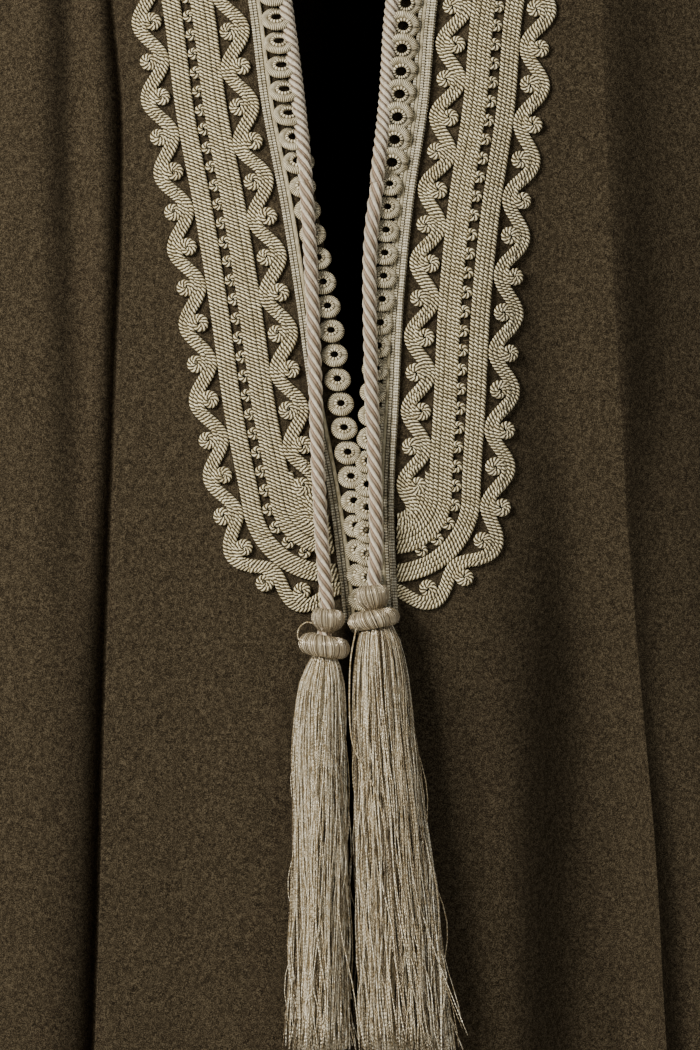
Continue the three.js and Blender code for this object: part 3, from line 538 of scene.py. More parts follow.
def make_sleeve(side):
    count, length = SLEEVE_MESH["around"], SLEEVE_MESH["along"]
    sign = SIGN[side]
    place = np.linspace(0, len(SLEEVE["z"]) - 1, length)
    ring = {name: read(SLEEVE, name, -place)[:, None] for name in SLEEVE if name != "z"}
    turn = circle(count)[None]
    up = (1 + np.cos(turn)) / 2
    step = place[:, None]
    ripple = RIPPLE["height"] * smooth(step / 4) * np.sin(RIPPLE["around"] * turn + RIPPLE["along"] * step)
    near = np.exp(-(((step - ELBOW["ring"]) / ELBOW["reach"]) ** 2))
    elbow = ELBOW["height"] * near * np.sin(ELBOW["around"] * turn + ELBOW["along"] * step)
    x = sign * mix(ring["low_x"], ring["top_x"], up)
    y = -(ring["half"] + ripple + elbow) * np.sin(turn)
    z = mix(ring["low_z"], ring["top_z"], up)
    points = np.stack([x, y, z], -1)
    points += (armhole_loop(side, count) - points[0])[None] * ring["held"][..., None]
    index = np.column_stack([np.arange(count * length).reshape(length, count), np.arange(length) * count])
    quads = grid_quads(index) if sign < 0 else grid_quads(index)[:, ::-1]
    around = np.roll(points, -1, 1) - np.roll(points, 1, 1)
    along = np.gradient(points, axis=0)
    inward = unit(np.cross(around, along)) * sign
    middle = points.mean(1, keepdims=True)
    inward *= np.sign(np.sum((middle - points) * inward, -1, keepdims=True))
    shell, faces = thicken(points.reshape(-1, 3), quads, inward.reshape(-1, 3))
    return make_object(f"sleeve_cloth_{side}", shell, faces)


# ---- couched cords ----
SEAM_MARGIN = 2.0
CORD = {"half": 1.0, "high": 0.9, "lift": 1.15}
CURL = {"turns": 1.85, "outer": 3.3, "inner": 0.75, "in": 1.8, "tail": (-7.5, -0.9)}
SCROLL = {"swing": 4.1, "apart": 1.66}
# Out: distance from the braid's outer side. Crest: the height z of one outward bend.
OUTER_SCROLL = {
    "out": 41.2,
    "wave": {"left": 30.9, "right": 30.9},
    "crest": {"left": -253.2, "right": -218},
}
INNER_SCROLL = {
    "out": 7.6,
    "wave": {"left": 30.9, "right": 29.7},
    "crest": {"left": -241.2, "right": -214.8},
}
OUTER_BAND = (28.1, 29.9, 31.7, 33.5)
INNER_BAND = (14.9, 16.7, 18.75, 20.5, 22.2)
# Short cords that fill the corner inside the inner band's turn, and how far up each one starts.
CORNER = {"outs": (13.2, 11.5, 9.8, 8.1), "up": 10.0, "later": 2.6}
PICOT = {"out": 24.4, "pitch": 7.75, "radius": 1.5, "half": 1.02}


def seam_way(side):
    return unit(np.array([SIGN[side] * (TIP_HALF - NECK_HALF), -TIP_DROP]))


def outline(side, out):
    """Places (x, q) and outward directions of a line that keeps its distance from the braid: from
    the shoulder down the slit, then a quarter turn in toward the slit's end."""
    sign = SIGN[side]
    q = np.arange(seam_q("front", NECK_HALF) + 2, TURN_Z, -0.5)
    slope = (line(side, "braid", q + 4) - line(side, "braid", q - 4)) / 8
    way = unit(np.stack([np.full_like(q, sign), -sign * slope], -1))
    way = unit(mix(way, seam_way(side), smooth((q + 50) / 90)[:, None]))
    place = np.stack([line(side, "braid", q), q], -1) + way * out
    kept = place[:, 1] < seam_q("front", place[:, 0]) - SEAM_MARGIN
    centre = np.array([line(side, "braid", TURN_Z), TURN_Z])
    turn = -sign * np.arange(0, math.pi / 2 - 1.2 / out, min(0.5 / out, 0.05))
    start = way[-1]
    turned = np.stack(
        [
            start[0] * np.cos(turn) - start[1] * np.sin(turn),
            start[0] * np.sin(turn) + start[1] * np.cos(turn),
        ],
        -1,
    )
    places = np.concatenate([place[kept], centre + turned * out])
    return np.column_stack([places, np.concatenate([way[kept], turned])])


def shoulder_clear(q):
    """The trim lies a little higher toward the shoulder."""
    return 0.2 * smooth((q + 120) / 60)


def lay_cord(shape, places, half=CORD["half"], lift=0.0, step=1.6):
    """A round cord couched on the front along places (x, q)."""
    x, q = resample(places, step).T
    centre = over_cloth("front", x, q, CORD["lift"] + shoulder_clear(q) + lift)
    tube(shape, centre, body_normal("front", x, q), half, half * CORD["high"], 8)


def offset_line(places, distance):
    """A line beside another on the pattern."""
    along = unit(np.gradient(places, axis=0))
    return places + np.stack([along[:, 1], -along[:, 0]], -1) * distance


def base_frame(side, base, run, at):
    """A place on a base line, the way out from it and the way along it."""
    x, q, way_x, way_q = between(base, run, at)
    way = unit(np.array([way_x, way_q]))
    return np.array([x, q]), way, np.array([-way[1], way[0]]) * SIGN[side]


def make_band(side, outs):
    shape = Shape()
    for out in outs:
        lay_cord(shape, outline(side, out)[:, :2], step=2.4)
    return shape


def fill_corner(shape, side):
    for k, out in enumerate(CORNER["outs"]):
        places = outline(side, out)[:, :2]
        start = TURN_Z + CORNER["up"] - k * CORNER["later"]
        lay_cord(shape, places[places[:, 1] < start], lift=-0.1)


def add_picots(shape, side):
    """Small open loops of cord along the inner band's outer side."""
    base = outline(side, PICOT["out"])
    run = runs(base[:, :2])
    for at in np.arange(PICOT["pitch"] * 0.6, run[-1] - 3, PICOT["pitch"]):
        middle, way, back = base_frame(side, base, run, at)
        turn = np.linspace(-2.2, 3.5, 16)
        radius = np.linspace(PICOT["radius"] + 0.4, PICOT["radius"] - 0.45, len(turn))
        radius = radius * (1 + RANDOM.uniform(-0.06, 0.06))
        loop = np.cos(turn)[:, None] * way + np.sin(turn)[:, None] * back
        lay_cord(shape, middle + radius[:, None] * loop, half=PICOT["half"], step=0.75)


def scroll_wave(side, scroll):
    """The scroll's middle line, with the run along its base and the base's own line."""
    base = resample(outline(side, scroll["out"]), 0.7)
    base[:, 2:] = unit(base[:, 2:])
    run = runs(base[:, :2])
    crest = np.interp(-scroll["crest"][side], -base[:, 1], run)
    wave = scroll["wave"][side]
    swing = SCROLL["swing"] * np.cos(2 * math.pi * (run - crest) / wave)
    return base, run, crest, wave, base[:, :2] + base[:, 2:] * swing[:, None]


def add_curl(shape, base, run, at, wave, sign, side):
    """A spiral of one cord in the hollow of a bend, its tail along the wave."""
    middle, way, back = base_frame(side, base, run, at)
    turn = np.linspace(0, 2 * math.pi * CURL["turns"], 48)
    radius = np.linspace(CURL["outer"], CURL["inner"], len(turn)) * (1 + RANDOM.uniform(-0.06, 0.06))
    spiral = np.stack([radius * np.cos(turn) - CURL["in"], radius * np.sin(turn)], -1)
    start, end = CURL["tail"]
    tail_back = np.linspace(start, end, 8)
    tail_out = SCROLL["swing"] * np.cos(2 * math.pi * tail_back / wave) - SCROLL["apart"]
    tail_out = mix(tail_out, spiral[0, 0], smooth((tail_back - start) / (end - start)))
    local = np.concatenate([np.stack([tail_out, tail_back], -1), spiral]) * sign
    places = middle + local[:, :1] * way + local[:, 1:] * back
    lay_cord(shape, places, lift=0.35, step=0.95)


def make_scroll(side, scroll):
    shape = Shape()
    base, run, crest, wave, middle = scroll_wave(side, scroll)
    for apart in (-SCROLL["apart"], 0, SCROLL["apart"]):
        lay_cord(shape, offset_line(middle, apart), step=1.1)
    first = math.ceil(-crest / (wave / 2))
    for k in range(first, int((run[-1] - crest) / (wave / 2)) + 1):
        at = crest + k * wave / 2
        if 3 < at < run[-1] - 1:
            add_curl(shape, base, run, at, wave, 1 if k % 2 == 0 else -1, side)
    return shape


# ---- the slit's border: braid, rings and ropes ----
NECK_OFFSET = {"rope": 1.0, "ring": 8.5, "braid": 17.0}
# The part of the 160 places round the neck that holds rings: none at its centre or at the seam.
RINGS_KEPT = slice(6, -8)
# The braid's cords: distance in from the braid's outer side, half width, beaded or smooth, and kind.
BRAID = {
    "left": ((0.8, 0.8, True, "bright"), (2.4, 0.75, True, "bright"), (4.1, 0.85, False, "gimp")),
    "right": (
        (1.3, 1.3, True, "bright"),
        (3.4, 0.75, True, "bright"),
        (4.9, 0.7, False, "gimp"),
        (6.3, 0.75, True, "bright"),
    ),
}
BEAD = 1.15
BEAD_CLEAR = 0.45
BORDER_LOW = -404
# A ring's lift, and how much more it gets when it leans.
RING = {"pitch": {"left": 9.8, "right": 9.2}, "lift": 1.5, "lean_lift": 2.4}
# A ring's rim and its collar: radius, half width, half height, lift, points round it, sides and ribs.
RING_PARTS = ((3.55, 1.65, 1.35, 0.0, 30, 10, 1.9), (2.1, 0.7, 0.7, 1.1, 24, 6, 1.0))
# The rings of the upper row are larger and overlap: how far each is moved, its size, and its lean.
UPPER_RINGS = {"from": -205, "to": -235, "shift": 1.9, "size": 1.3, "lean": {"left": -0.6, "right": 0.5}}
LOWER_LEAN = -0.3
# Where the right rings start to rise over the left ones, how soon, and by how much.
OVER = {"from": -330, "within": 25, "rise": 1.3}
# A rope's strands: a share of each is thick, and the rest is thin and darker. Groove, crown and low
# crown are shares of the radius.
ROPE = {"radius": 2.9, "leave": -228.0, "columns": 40, "strands": 4, "thick": 0.6}
ROPE_PROFILE = {"groove": 0.76, "crown": 0.26, "low_crown": 0.13}
# How much slimmer a rope's core is inside its tassel.
SLIMMER = 0.15
SEWN = {"pitch": 12.4, "thick": 0.84, "change": 26.0}
FREE_PITCH = 23.0
ROPE_LOW = 3.15
ROPE_HIGH = 5.05
TOWARD_FRONT = (0.0, -1.0, 0.0)


def neck_places(side, out, count):
    """Places round the back of the neck, from its centre to the shoulder seam."""
    reach = NECK_HALF + out
    share = np.linspace(0, 1, count)
    drop = seam_q("back", reach) - BACK_NECK_Z + out
    x = np.maximum(share * reach, SEAM_GAP)
    return np.stack([SIGN[side] * x, BACK_NECK_Z - out + drop * share**BACK_NECK_CURVE], -1)


def beaded(shape, places, half, ribbed, panel):
    """A cord with round beads along it, or a smooth one."""
    places = resample(places, 0.46 if ribbed else 2.4)
    x, q = places[:, 0], np.minimum(places[:, 1], seam_q(panel, places[:, 0]))
    swell = half * (1 + 0.18 * np.sin(2 * math.pi * runs(places) / BEAD)) if ribbed else half
    centre = over_cloth(panel, x, q, BEAD_CLEAR + half + shoulder_clear(q))
    tube(shape, centre, body_normal(panel, x, q), swell, swell, 6, ribbed)


def make_braid(side):
    shapes = {"bright": Shape(), "gimp": Shape()}
    q = np.arange(seam_q("front", NECK_HALF), BORDER_LOW, -1.5)
    for inside, half, ribbed, kind in BRAID[side]:
        front = np.stack([line(side, "braid", q) - SIGN[side] * inside, q], -1)
        back = neck_places(side, NECK_OFFSET["braid"] - inside * 0.8, 60)
        beaded(shapes[kind], front, half, ribbed, "front")
        beaded(shapes[kind], back, half, ribbed, "back")
    return shapes


def add_ring(shape, panel, x, q, lean, size, rise):
    """A crocheted ring on the cloth: a padded rim wrapped with thread, and a beaded collar in it."""
    normal = body_normal(panel, x, q)
    down = body_point(panel, x, q - 0.5) - body_point(panel, x, q + 0.5)
    down = unit(down - normal * np.dot(down, normal))
    across = np.cross(normal, down)
    normal = unit(normal + lean[0] * across + lean[1] * down)
    across = unit(np.cross(normal, down))
    down = np.cross(across, normal)
    lift = RING["lift"] + RING["lean_lift"] * abs(lean[1]) + rise + shoulder_clear(q)
    middle = over_cloth(panel, x, q, lift)
    for radius, wide, high, above, count, sides, ribs in RING_PARTS:
        turn = np.linspace(0, 2 * math.pi * (1 + 1 / count), count + 2)[:, None]
        out = np.cos(turn) * across + np.sin(turn) * down
        squeeze = 1 + 0.06 * np.cos(2 * turn + 5 * lean[0])
        centre = middle + normal * above + out * radius * size * squeeze
        section = circle(sides)
        rim = centre[:, None] + wide * np.cos(section)[:, None] * out[:, None]
        rim = rim - high * np.sin(section)[:, None] * normal
        shape.grid(rim, runs(centre) * ribs)


def make_rings(side):
    shape = Shape()
    q = np.arange(seam_q("front", NECK_HALF) - 3, BORDER_LOW, -0.5)
    turned = 1 - smooth((UPPER_RINGS["from"] - q) / (UPPER_RINGS["from"] - UPPER_RINGS["to"]))
    shift = UPPER_RINGS["shift"] * turned if side == "left" else 0
    front = np.stack([line(side, "ring", q) + shift, q], -1)
    back = neck_places(side, NECK_OFFSET["ring"], 160)[RINGS_KEPT]
    for panel, places in (("front", front), ("back", back)):
        for x, q in resample(places, RING["pitch"][side]):
            upper = q > UPPER_RINGS["to"] + 10
            size = UPPER_RINGS["size"] if upper else 1.0
            lean = RANDOM.uniform(-0.07, 0.07, 2)
            lean[1] += UPPER_RINGS["lean"][side] if upper else LOWER_LEAN
            over = float(smooth((OVER["from"] - q) / OVER["within"])) if side == "right" else 0.0
            add_ring(shape, panel, x, q, lean, size, OVER["rise"] * over)
    return shape


def rope(shape, centre, up, turns, thick, radius):
    """A twisted rope of thick and thin strands. Turns: how far it has turned at each place."""
    side, top = tube_frame(centre, up)
    columns, strands, share = ROPE["columns"], ROPE["strands"], ROPE["thick"]
    strand, place = np.divmod(np.round(np.arange(columns) / columns * strands, 3), 1)
    crown = ROPE_PROFILE["crown"] * np.sin(math.pi * np.clip(place / share, 0, 1)) ** 0.8
    low = ROPE_PROFILE["low_crown"] * np.sin(math.pi * np.clip((place - share) / (1 - share), 0, 1))
    profile = ROPE_PROFILE["groove"] + np.where(place < share, crown, low)
    thick = np.broadcast_to(thick, len(centre))[:, None]
    late = (place - share) / (1 - share) * (1 - thick) + thick
    spread = (strand + np.where(place < share, place / share * thick, late)) / strands
    turn = 2 * math.pi * (spread - turns[:, None])
    reach = np.broadcast_to(radius, len(centre))[:, None] * profile[None]
    ring = centre[:, None] + (reach * np.cos(turn))[..., None] * side[:, None]
    ring = ring + (reach * np.sin(turn))[..., None] * top[:, None]
    shape.grid(ring, runs(centre))


def make_sewn_rope(side):
    back = neck_places(side, NECK_OFFSET["rope"], 40)[:-1]
    q = np.linspace(seam_q("front", NECK_HALF), ROPE["leave"], 120)
    climb = smooth((ROPE["leave"] + 34 - q) / 30)
    x = line(side, "rope", q)
    low = over_cloth("back", back[:, 0], back[:, 1], ROPE_LOW)
    points = np.concatenate([low, over_cloth("front", x, q, mix(ROPE_LOW, ROPE_HIGH, climb))])
    ups = np.concatenate([body_normal("back", back[:, 0], back[:, 1]), body_normal("front", x, q)])
    centre = resample(points, 1.0)
    at = runs(centre)
    up = between(ups, runs(points), at)
    change = smooth((at - at[-1]) / SEWN["change"] + 1)
    up = mix(up, np.array(TOWARD_FRONT), change[:, None])
    turned = np.cumsum(np.gradient(at) / mix(SEWN["pitch"], FREE_PITCH, change))
    shape = Shape()
    thick = mix(SEWN["thick"], ROPE["thick"], change)
    rope(shape, centre, unit(up), turned - turned[-1], thick, ROPE["radius"])
    return shape


# The free ropes: place across and down the cloth, and height above it.
TIE = {
    "left": (
        (-21.6, -228.6, 5.1), (-20.9, -240, 5.3), (-20.2, -252, 5.4), (-19.6, -264, 5.5),
        (-19.1, -276, 5.6), (-18.7, -289, 5.7), (-18.2, -302, 5.9), (-17.8, -315, 6.2),
        (-17.5, -328, 6.6), (-17, -341, 7.2), (-16.4, -354, 8), (-15.8, -366, 9),
        (-15.1, -377, 10), (-14.3, -387, 11), (-13.4, -397, 11.6),
    ),
    "right": (
        (6.9, -228.6, 5.1), (5.3, -239, 5.3), (4.2, -250, 5.4), (3.7, -262, 5.5),
        (3.7, -275, 5.6), (3.9, -288, 5.8), (4.2, -301, 6.1), (4.5, -314, 6.5),
        (5.1, -327, 7.1), (5.6, -340, 7.9), (6, -352, 8.9), (6.2, -363, 9.9),
        (6.1, -373, 10.8), (5.6, -381, 11.4), (5.2, -387.6, 11.7),
    ),
}
# Bead and disc, downward: shares of the radius and of the thickness.
PROFILES = {
    "bead": (
        (0.35, 0.5), (0.72, 0.48), (0.93, 0.34), (1, 0.12), (0.97, -0.1), (0.84, -0.3), (0.62, -0.45),
        (0.42, -0.6),
    ),
    "disc": (
        (0.3, 0.42), (0.62, 0.5), (0.84, 0.4), (0.97, 0.18), (1, -0.04), (0.93, -0.28), (0.78, -0.44),
        (0.55, -0.5),
    ),
}
# Tassels: bead and disc (place across, height, radius, thickness, tilt), then the skirt's line.
TASSEL = {
    "left": {
        "bead": (-12.8, -401.5, 6.8, 8.6, 8),
        "disc": (-14.2, -412, 10.4, 8.8, 10),
        "skirt": table(
            "x half",
            (-412, -14.3, 3.4), (-417, -14.4, 4.6), (-420.5, -14.7, 7.8), (-426, -15.2, 9.4),
            (-434, -15.7, 10.3), (-450, -16.1, 10.9), (-480, -15.9, 11.1), (-572, -16.6, 11.4),
        ),
    },
    "right": {
        "bead": (5, -392.5, 6.8, 9.4, -4),
        "disc": (5.4, -401.4, 10.6, 7.6, -9),
        "skirt": table(
            "x half",
            (-401, 6.4, 5.5), (-406, 7.2, 7.8), (-416, 7.8, 10.6), (-430, 8.5, 12.2),
            (-450, 9.6, 13.2), (-483, 11.8, 15), (-523, 14.4, 17), (-573, 18, 18.6),
        ),
    },
}
TUCK = 1.2
TASSEL_LIFT = 13.2
CORE_END = 90.0
STRANDS = 920
STRAYS = 22
# A loose thread of each tassel: places across, in front of its middle, and up. The left one loops out
# beside the head, and the right one leaves the disc and crosses the skirt.
LOOSE_THREAD = {
    "left": [(-18.4, 2, -403), (-21.4, 2, -402.6), (-24.2, 2, -405), (-24.6, 2, -408.6), (-22.6, 2, -411)],
    "right": [
        (-1.6, 7, -405), (-3.8, 8, -418), (-4.2, 9, -436), (-3.2, 11, -449),
        (0, 12, -457), (5.3, 12, -467), (8.7, 12, -478), (10.6, 11, -492),
    ],
}


def hang_y(x, z):
    return body_point("front", x, z)[..., 1] - TASSEL_LIFT


def tie_line(side):
    """The free rope's centre: over the cloth down to the tassel, then on down inside the tassel."""
    x, q, lift = np.array(TIE[side]).T
    hung = over_cloth("front", x, q, lift)
    spec = TASSEL[side]
    disc_x, disc_z = spec["disc"][:2]
    z = np.linspace(disc_z + 3, disc_z - CORE_END, 12)
    core_x = read(spec["skirt"], "x", z)
    core_y = np.minimum(hang_y(disc_x, disc_z), hang_y(core_x, z))
    core = np.stack([core_x, core_y, z], -1)
    tucked = hung[:1] + unit(hung[:1] - hung[1:2]) * TUCK
    return smooth_line(np.concatenate([tucked, hung, core]), 1.5)


def smooth_line(points, step):
    """Places at equal steps on a smooth curve through some points."""
    ends = np.concatenate([points[:1] * 2 - points[1:2], points, points[-1:] * 2 - points[-2:-1]])
    t = np.linspace(0, 1, 12, endpoint=False)[:, None]
    spans = []
    for a, b, c, d in zip(ends, ends[1:], ends[2:], ends[3:]):
        square = 2 * a - 5 * b + 4 * c - d
        cube = 3 * b - a - 3 * c + d
        spans.append(0.5 * (2 * b + (c - a) * t + square * t**2 + cube * t**3))
    return resample(np.concatenate([*spans, points[-1:]]), step)


def make_tie(side):
    centre = tie_line(side)
    shape = Shape()
    up = np.broadcast_to(np.array(TOWARD_FRONT), centre.shape)
    inside = smooth((TASSEL[side]["disc"][1] + 4 - centre[:, 2]) / 8)
    turns = (runs(centre) - TUCK) / FREE_PITCH
    rope(shape, centre, up, turns, ROPE["thick"], ROPE["radius"] * (1 - SLIMMER * inside))
    return shape, centre


def lathe(shape, centre, profile, tilt, columns=56):
    """A round body about a tilted upright axis. The profile runs downward: radius and height."""
    turn = circle(columns)
    angle = math.radians(tilt)
    ring_x = profile[:, :1] * np.cos(turn)
    ring_y = -profile[:, :1] * np.sin(turn) + 0 * ring_x
    ring_z = profile[:, 1:] + 0 * ring_x
    x = ring_x * math.cos(angle) + ring_z * math.sin(angle)
    z = ring_z * math.cos(angle) - ring_x * math.sin(angle)
    points = np.stack([x, ring_y, z], -1) + centre
    shape.grid(points, runs(profile))


def make_tassel(side):
    spec = TASSEL[side]
    shape = Shape()
    disc_x, disc_z = spec["disc"][:2]
    y = float(hang_y(disc_x, disc_z))
    for part in ("bead", "disc"):
        x, z, radius, thick, tilt = spec[part]
        lathe(shape, (x, y, z), np.array(PROFILES[part]) * (radius, thick), tilt)
    skirt = Shape()
    for k in range(STRANDS + STRAYS):
        add_strand(skirt, spec["skirt"], y, disc_z - 1, k >= STRANDS)
    x, ahead, z = np.array(LOOSE_THREAD[side], float).T
    loose = np.stack([x, np.minimum(y, hang_y(x, z)) - ahead, z], -1)
    tube(skirt, smooth_line(loose, 0.6), TOWARD_FRONT, 0.3, 0.3, 4)
    return shape, skirt


def strand_wave(z):
    height = RANDOM.uniform(0.2, 1.05) ** 2
    return height * np.sin(z / RANDOM.uniform(6, 18) + RANDOM.uniform(0, 6))


def add_strand(skirt, rows, y, top, stray):
    """One silk strand of a skirt. A stray one drifts to the right of the rest."""
    turn = RANDOM.uniform(0, 2 * math.pi)
    share = math.sqrt(RANDOM.uniform(0.02, 1))
    end = rows["z"][-1] + RANDOM.uniform(0, 14) * RANDOM.uniform(0, 1)
    z = np.linspace(top, end, 24)
    down = (top - z) / (top - end)
    half = read(rows, "half", z) - 0.6
    drift = RANDOM.normal(0, 1.6, 2)[:, None] * down**1.6
    turn = turn + RANDOM.normal(0, 0.55) * down
    if stray:
        drift[0] = RANDOM.uniform(2, 15) * down**3
    waves = [strand_wave(z) for k in range(2)]
    curl = sum(waves) * smooth(down * 3) * (0.5 + down)
    x = read(rows, "x", z) + half * share * np.cos(turn) + drift[0] + curl
    depth = np.minimum(half, 10.4) * share * np.sin(turn) + np.clip(drift[1], -1.4, 1.4)
    strand = np.stack([x, np.minimum(y, hang_y(x, z)) - depth + 0.5 * waves[0], z], -1)
    up = np.stack([np.cos(turn), -np.sin(turn), 0 * turn], -1)
    half_width = RANDOM.uniform(0.18, 0.35)
    tube(skirt, strand, up, half_width, half_width, 3)


# ---- materials ----
class Look:
    """A fabric material whose colour and relief come from procedural nodes."""

    def __init__(self, name, roughness, specular, metallic=0.0):
        self.material = bpy.data.materials.new(name)
        self.material.use_nodes = True
        self.tree = self.material.node_tree
        self.surface = self.tree.nodes["Principled BSDF"]
        self.surface.inputs["Roughness"].default_value = roughness
        self.surface.inputs["Specular IOR Level"].default_value = specular
        self.surface.inputs["Metallic"].default_value = metallic

    def wire(self, value, socket):
        if isinstance(value, bpy.types.NodeSocket):
            self.tree.links.new(value, socket)
        else:
            socket.default_value = value

    def node(self, kind, **inputs):
        """A new node, with some of its inputs set or linked."""
        node = self.tree.nodes.new("ShaderNode" + kind)
        for name, value in inputs.items():
            self.wire(value, node.inputs[name])
        return node

    def math(self, operation, a, b=0.0):
        node = self.node("Math")
        node.operation = operation
        self.wire(a, node.inputs[0])
        self.wire(b, node.inputs[1])
        return node.outputs[0]

    def noise(self, scale, detail=2.0, stretch=None):
        place = self.node("TexCoord").outputs["Object"]
        if stretch:
            place = self.node("Mapping", Vector=place, Scale=stretch).outputs["Vector"]
        return self.node("TexNoise", Scale=scale, Detail=detail, Vector=place).outputs["Fac"]

    def streaks(self, value, scale):
        """Uneven bands along one coordinate."""
        node = self.node("TexNoise", Scale=scale, Detail=2.0)
        node.noise_dimensions = "1D"
        self.wire(value, node.inputs["W"])
        return node.outputs["Fac"]

    def ridges(self, value, count):
        """A sine wave, count times for each whole step of a value."""
        return self.math("SINE", self.math("MULTIPLY", value, 2 * math.pi * count))

    def humps(self, value):
        """Half a sine wave for each whole step of a value: 0 at the step and 1 midway."""
        return self.math("SINE", self.math("MULTIPLY", self.math("FRACT", value), math.pi))

    def around_and_along(self):
        where = self.node("UVMap")
        where.uv_map = "run"
        parts = self.node("SeparateXYZ", Vector=where.outputs["UV"])
        return parts.outputs["X"], parts.outputs["Y"]

    def ramp(self, value, *stops):
        node = self.node("ValToRGB", Fac=value)
        elements = node.color_ramp.elements
        while len(elements) < len(stops):
            elements.new(0.5)
        for element, (place, colour) in zip(elements, stops):
            element.position = place
            element.color = (*linear(colour), 1)
        return node.outputs["Color"]

    def multiply(self, factor, a, b):
        node = self.node("Mix", Factor=factor)
        node.data_type = "RGBA"
        node.blend_type = "MULTIPLY"
        self.wire(a, node.inputs[6])
        self.wire(b, node.inputs[7])
        return node.outputs[2]

    def finish(self, colour, *reliefs):
        """Sets the colour, and a bump for each (height, depth in millimetres)."""
        self.wire(colour, self.surface.inputs["Base Color"])
        normal = None
        for height, depth in reliefs:
            bump = self.node("Bump", Distance=depth * MM, Height=height)
            if normal:
                self.wire(normal, bump.inputs["Normal"])
            normal = bump.outputs["Normal"]
        if normal:
            self.wire(normal, self.surface.inputs["Normal"])
        return self.material


def linear(colour):
    """A colour given as 0 to 255 on a screen, as the renderer's own values."""
    return tuple(((c / 255 + 0.055) / 1.055) ** 2.4 if c > 10 else c / 255 / 12.92 for c in colour)


def wool_look():
    look = Look("wool", 1.0, 0.06)
    fleck = look.noise(2400, 2)
    cloud = look.noise(600, 2)
    hair = look.noise(4200, 1)
    blend = look.math("ADD", look.math("MULTIPLY", fleck, 0.7), look.math("MULTIPLY", cloud, 0.3))
    base = look.ramp(blend, (0.36, (26, 21, 14)), (0.5, (52, 44, 31)), (0.64, (84, 74, 56)))
    fine = look.ramp(hair, (0.35, (186, 190, 200)), (0.65, (255, 252, 246)))
    colour = look.multiply(0.6, base, fine)
    return look.finish(colour, (fleck, 0.15))


# A couched cord: its plies, how far apart they are along it in millimetres, and how much they wander.
TWIST = {"plies": 2.0, "spacing": 1.5, "wander": 0.7}


def cord_look():
    """Twisted cord: painted shade in the grooves between its plies and a painted highlight on their
    crests.
    """
    look = Look("couched_cord", 0.45, 0.4)
    around, along = look.around_and_along()
    plies = look.math("MULTIPLY", around, TWIST["plies"])
    phase = look.math("ADD", plies, look.math("DIVIDE", along, TWIST["spacing"]))
    wander = look.math("MULTIPLY", look.noise(260, 1), TWIST["wander"])
    crest = look.humps(look.math("ADD", phase, wander))
    # The ramp over each ply paints shade into the grooves and a highlight onto the crests.
    colour = look.ramp(
        crest, (0.1, (50, 39, 22)), (0.42, (112, 96, 62)), (0.72, (188, 172, 130)), (0.96, (248, 238, 200))
    )
    grain = look.ramp(look.noise(330, 2), (0.3, (190, 182, 164)), (0.7, (255, 255, 255)))
    return look.finish(look.multiply(0.8, colour, grain), (crest, 0.75))


def bead_look(name, low, high, thread):
    """Crocheted or wrapped thread: ribs along a cord, with painted shade between them and a painted
    highlight on them, and fine lines that run with it, with painted shade between them.
    """
    look = Look(name, 0.45, 0.4)
    around, along = look.around_and_along()
    ribs = look.humps(look.math("DIVIDE", along, BEAD))
    # Painted shade where the ribs meet, deepest at the joins, and the high colour is a painted highlight
    # on the ribs.
    colour = look.ramp(ribs, (0.05, tuple(c * 0.75 for c in low)), (0.4, low), (0.8, high))
    grain = look.ramp(look.noise(420, 2), (0.3, (180, 172, 154)), (0.7, (255, 255, 255)))
    colour = look.multiply(0.8, colour, grain)
    if not thread:
        return look.finish(colour, (ribs, 0.35))
    lines = look.ridges(around, thread)
    shade = look.ramp(lines, (0.0, (176, 168, 148)), (0.6, (255, 255, 255)))
    return look.finish(look.multiply(0.6, colour, shade), (ribs, 0.4), (lines, 0.1))


def rope_look():
    look = Look("rope", 0.38, 0.5)
    around = look.around_and_along()[0]
    part = look.math("FRACT", look.math("MULTIPLY", around, float(ROPE["strands"])))
    # A ramp across each strand: cream thick plies and taupe thin plies, their own colours, with painted
    # shade in the grooves between strands and a painted highlight on each thick ply's crown.
    colour = look.ramp(
        part,
        (0.0, (112, 94, 68)),
        (0.09, (204, 190, 164)),
        (0.3, (255, 243, 220)),
        (0.5, (234, 219, 192)),
        (0.6, (88, 69, 50)),
        (0.66, (172, 145, 118)),
        (0.8, (200, 174, 146)),
        (0.95, (104, 84, 62)),
    )
    silk = look.noise(900, 2, (1, 1, 0.35))
    threads = look.ridges(around, 48)
    shade = look.ramp(silk, (0.3, (214, 206, 194)), (0.62, (255, 255, 255)))
    return look.finish(look.multiply(0.8, colour, shade), (threads, 0.12))


def wrapped_look():
    look = Look("wrapped_silk", 0.25, 0.9, metallic=0.35)
    around, along = look.around_and_along()
    slant = look.math("ADD", around, look.math("MULTIPLY", along, 0.004))
    fine = look.streaks(slant, 120)
    broad = look.streaks(slant, 30)
    level = look.math("ADD", look.math("MULTIPLY", fine, 0.7), look.math("MULTIPLY", broad, 0.3))
    # Thread tones that vary at random across the wraps, running from painted shade in the bump's hollows
    # to a painted highlight on the raised threads.
    colour = look.ramp(level, (0.36, (60, 46, 28)), (0.46, (140, 121, 88)), (0.58, (230, 214, 180)))
    return look.finish(colour, (fine, 1.3))


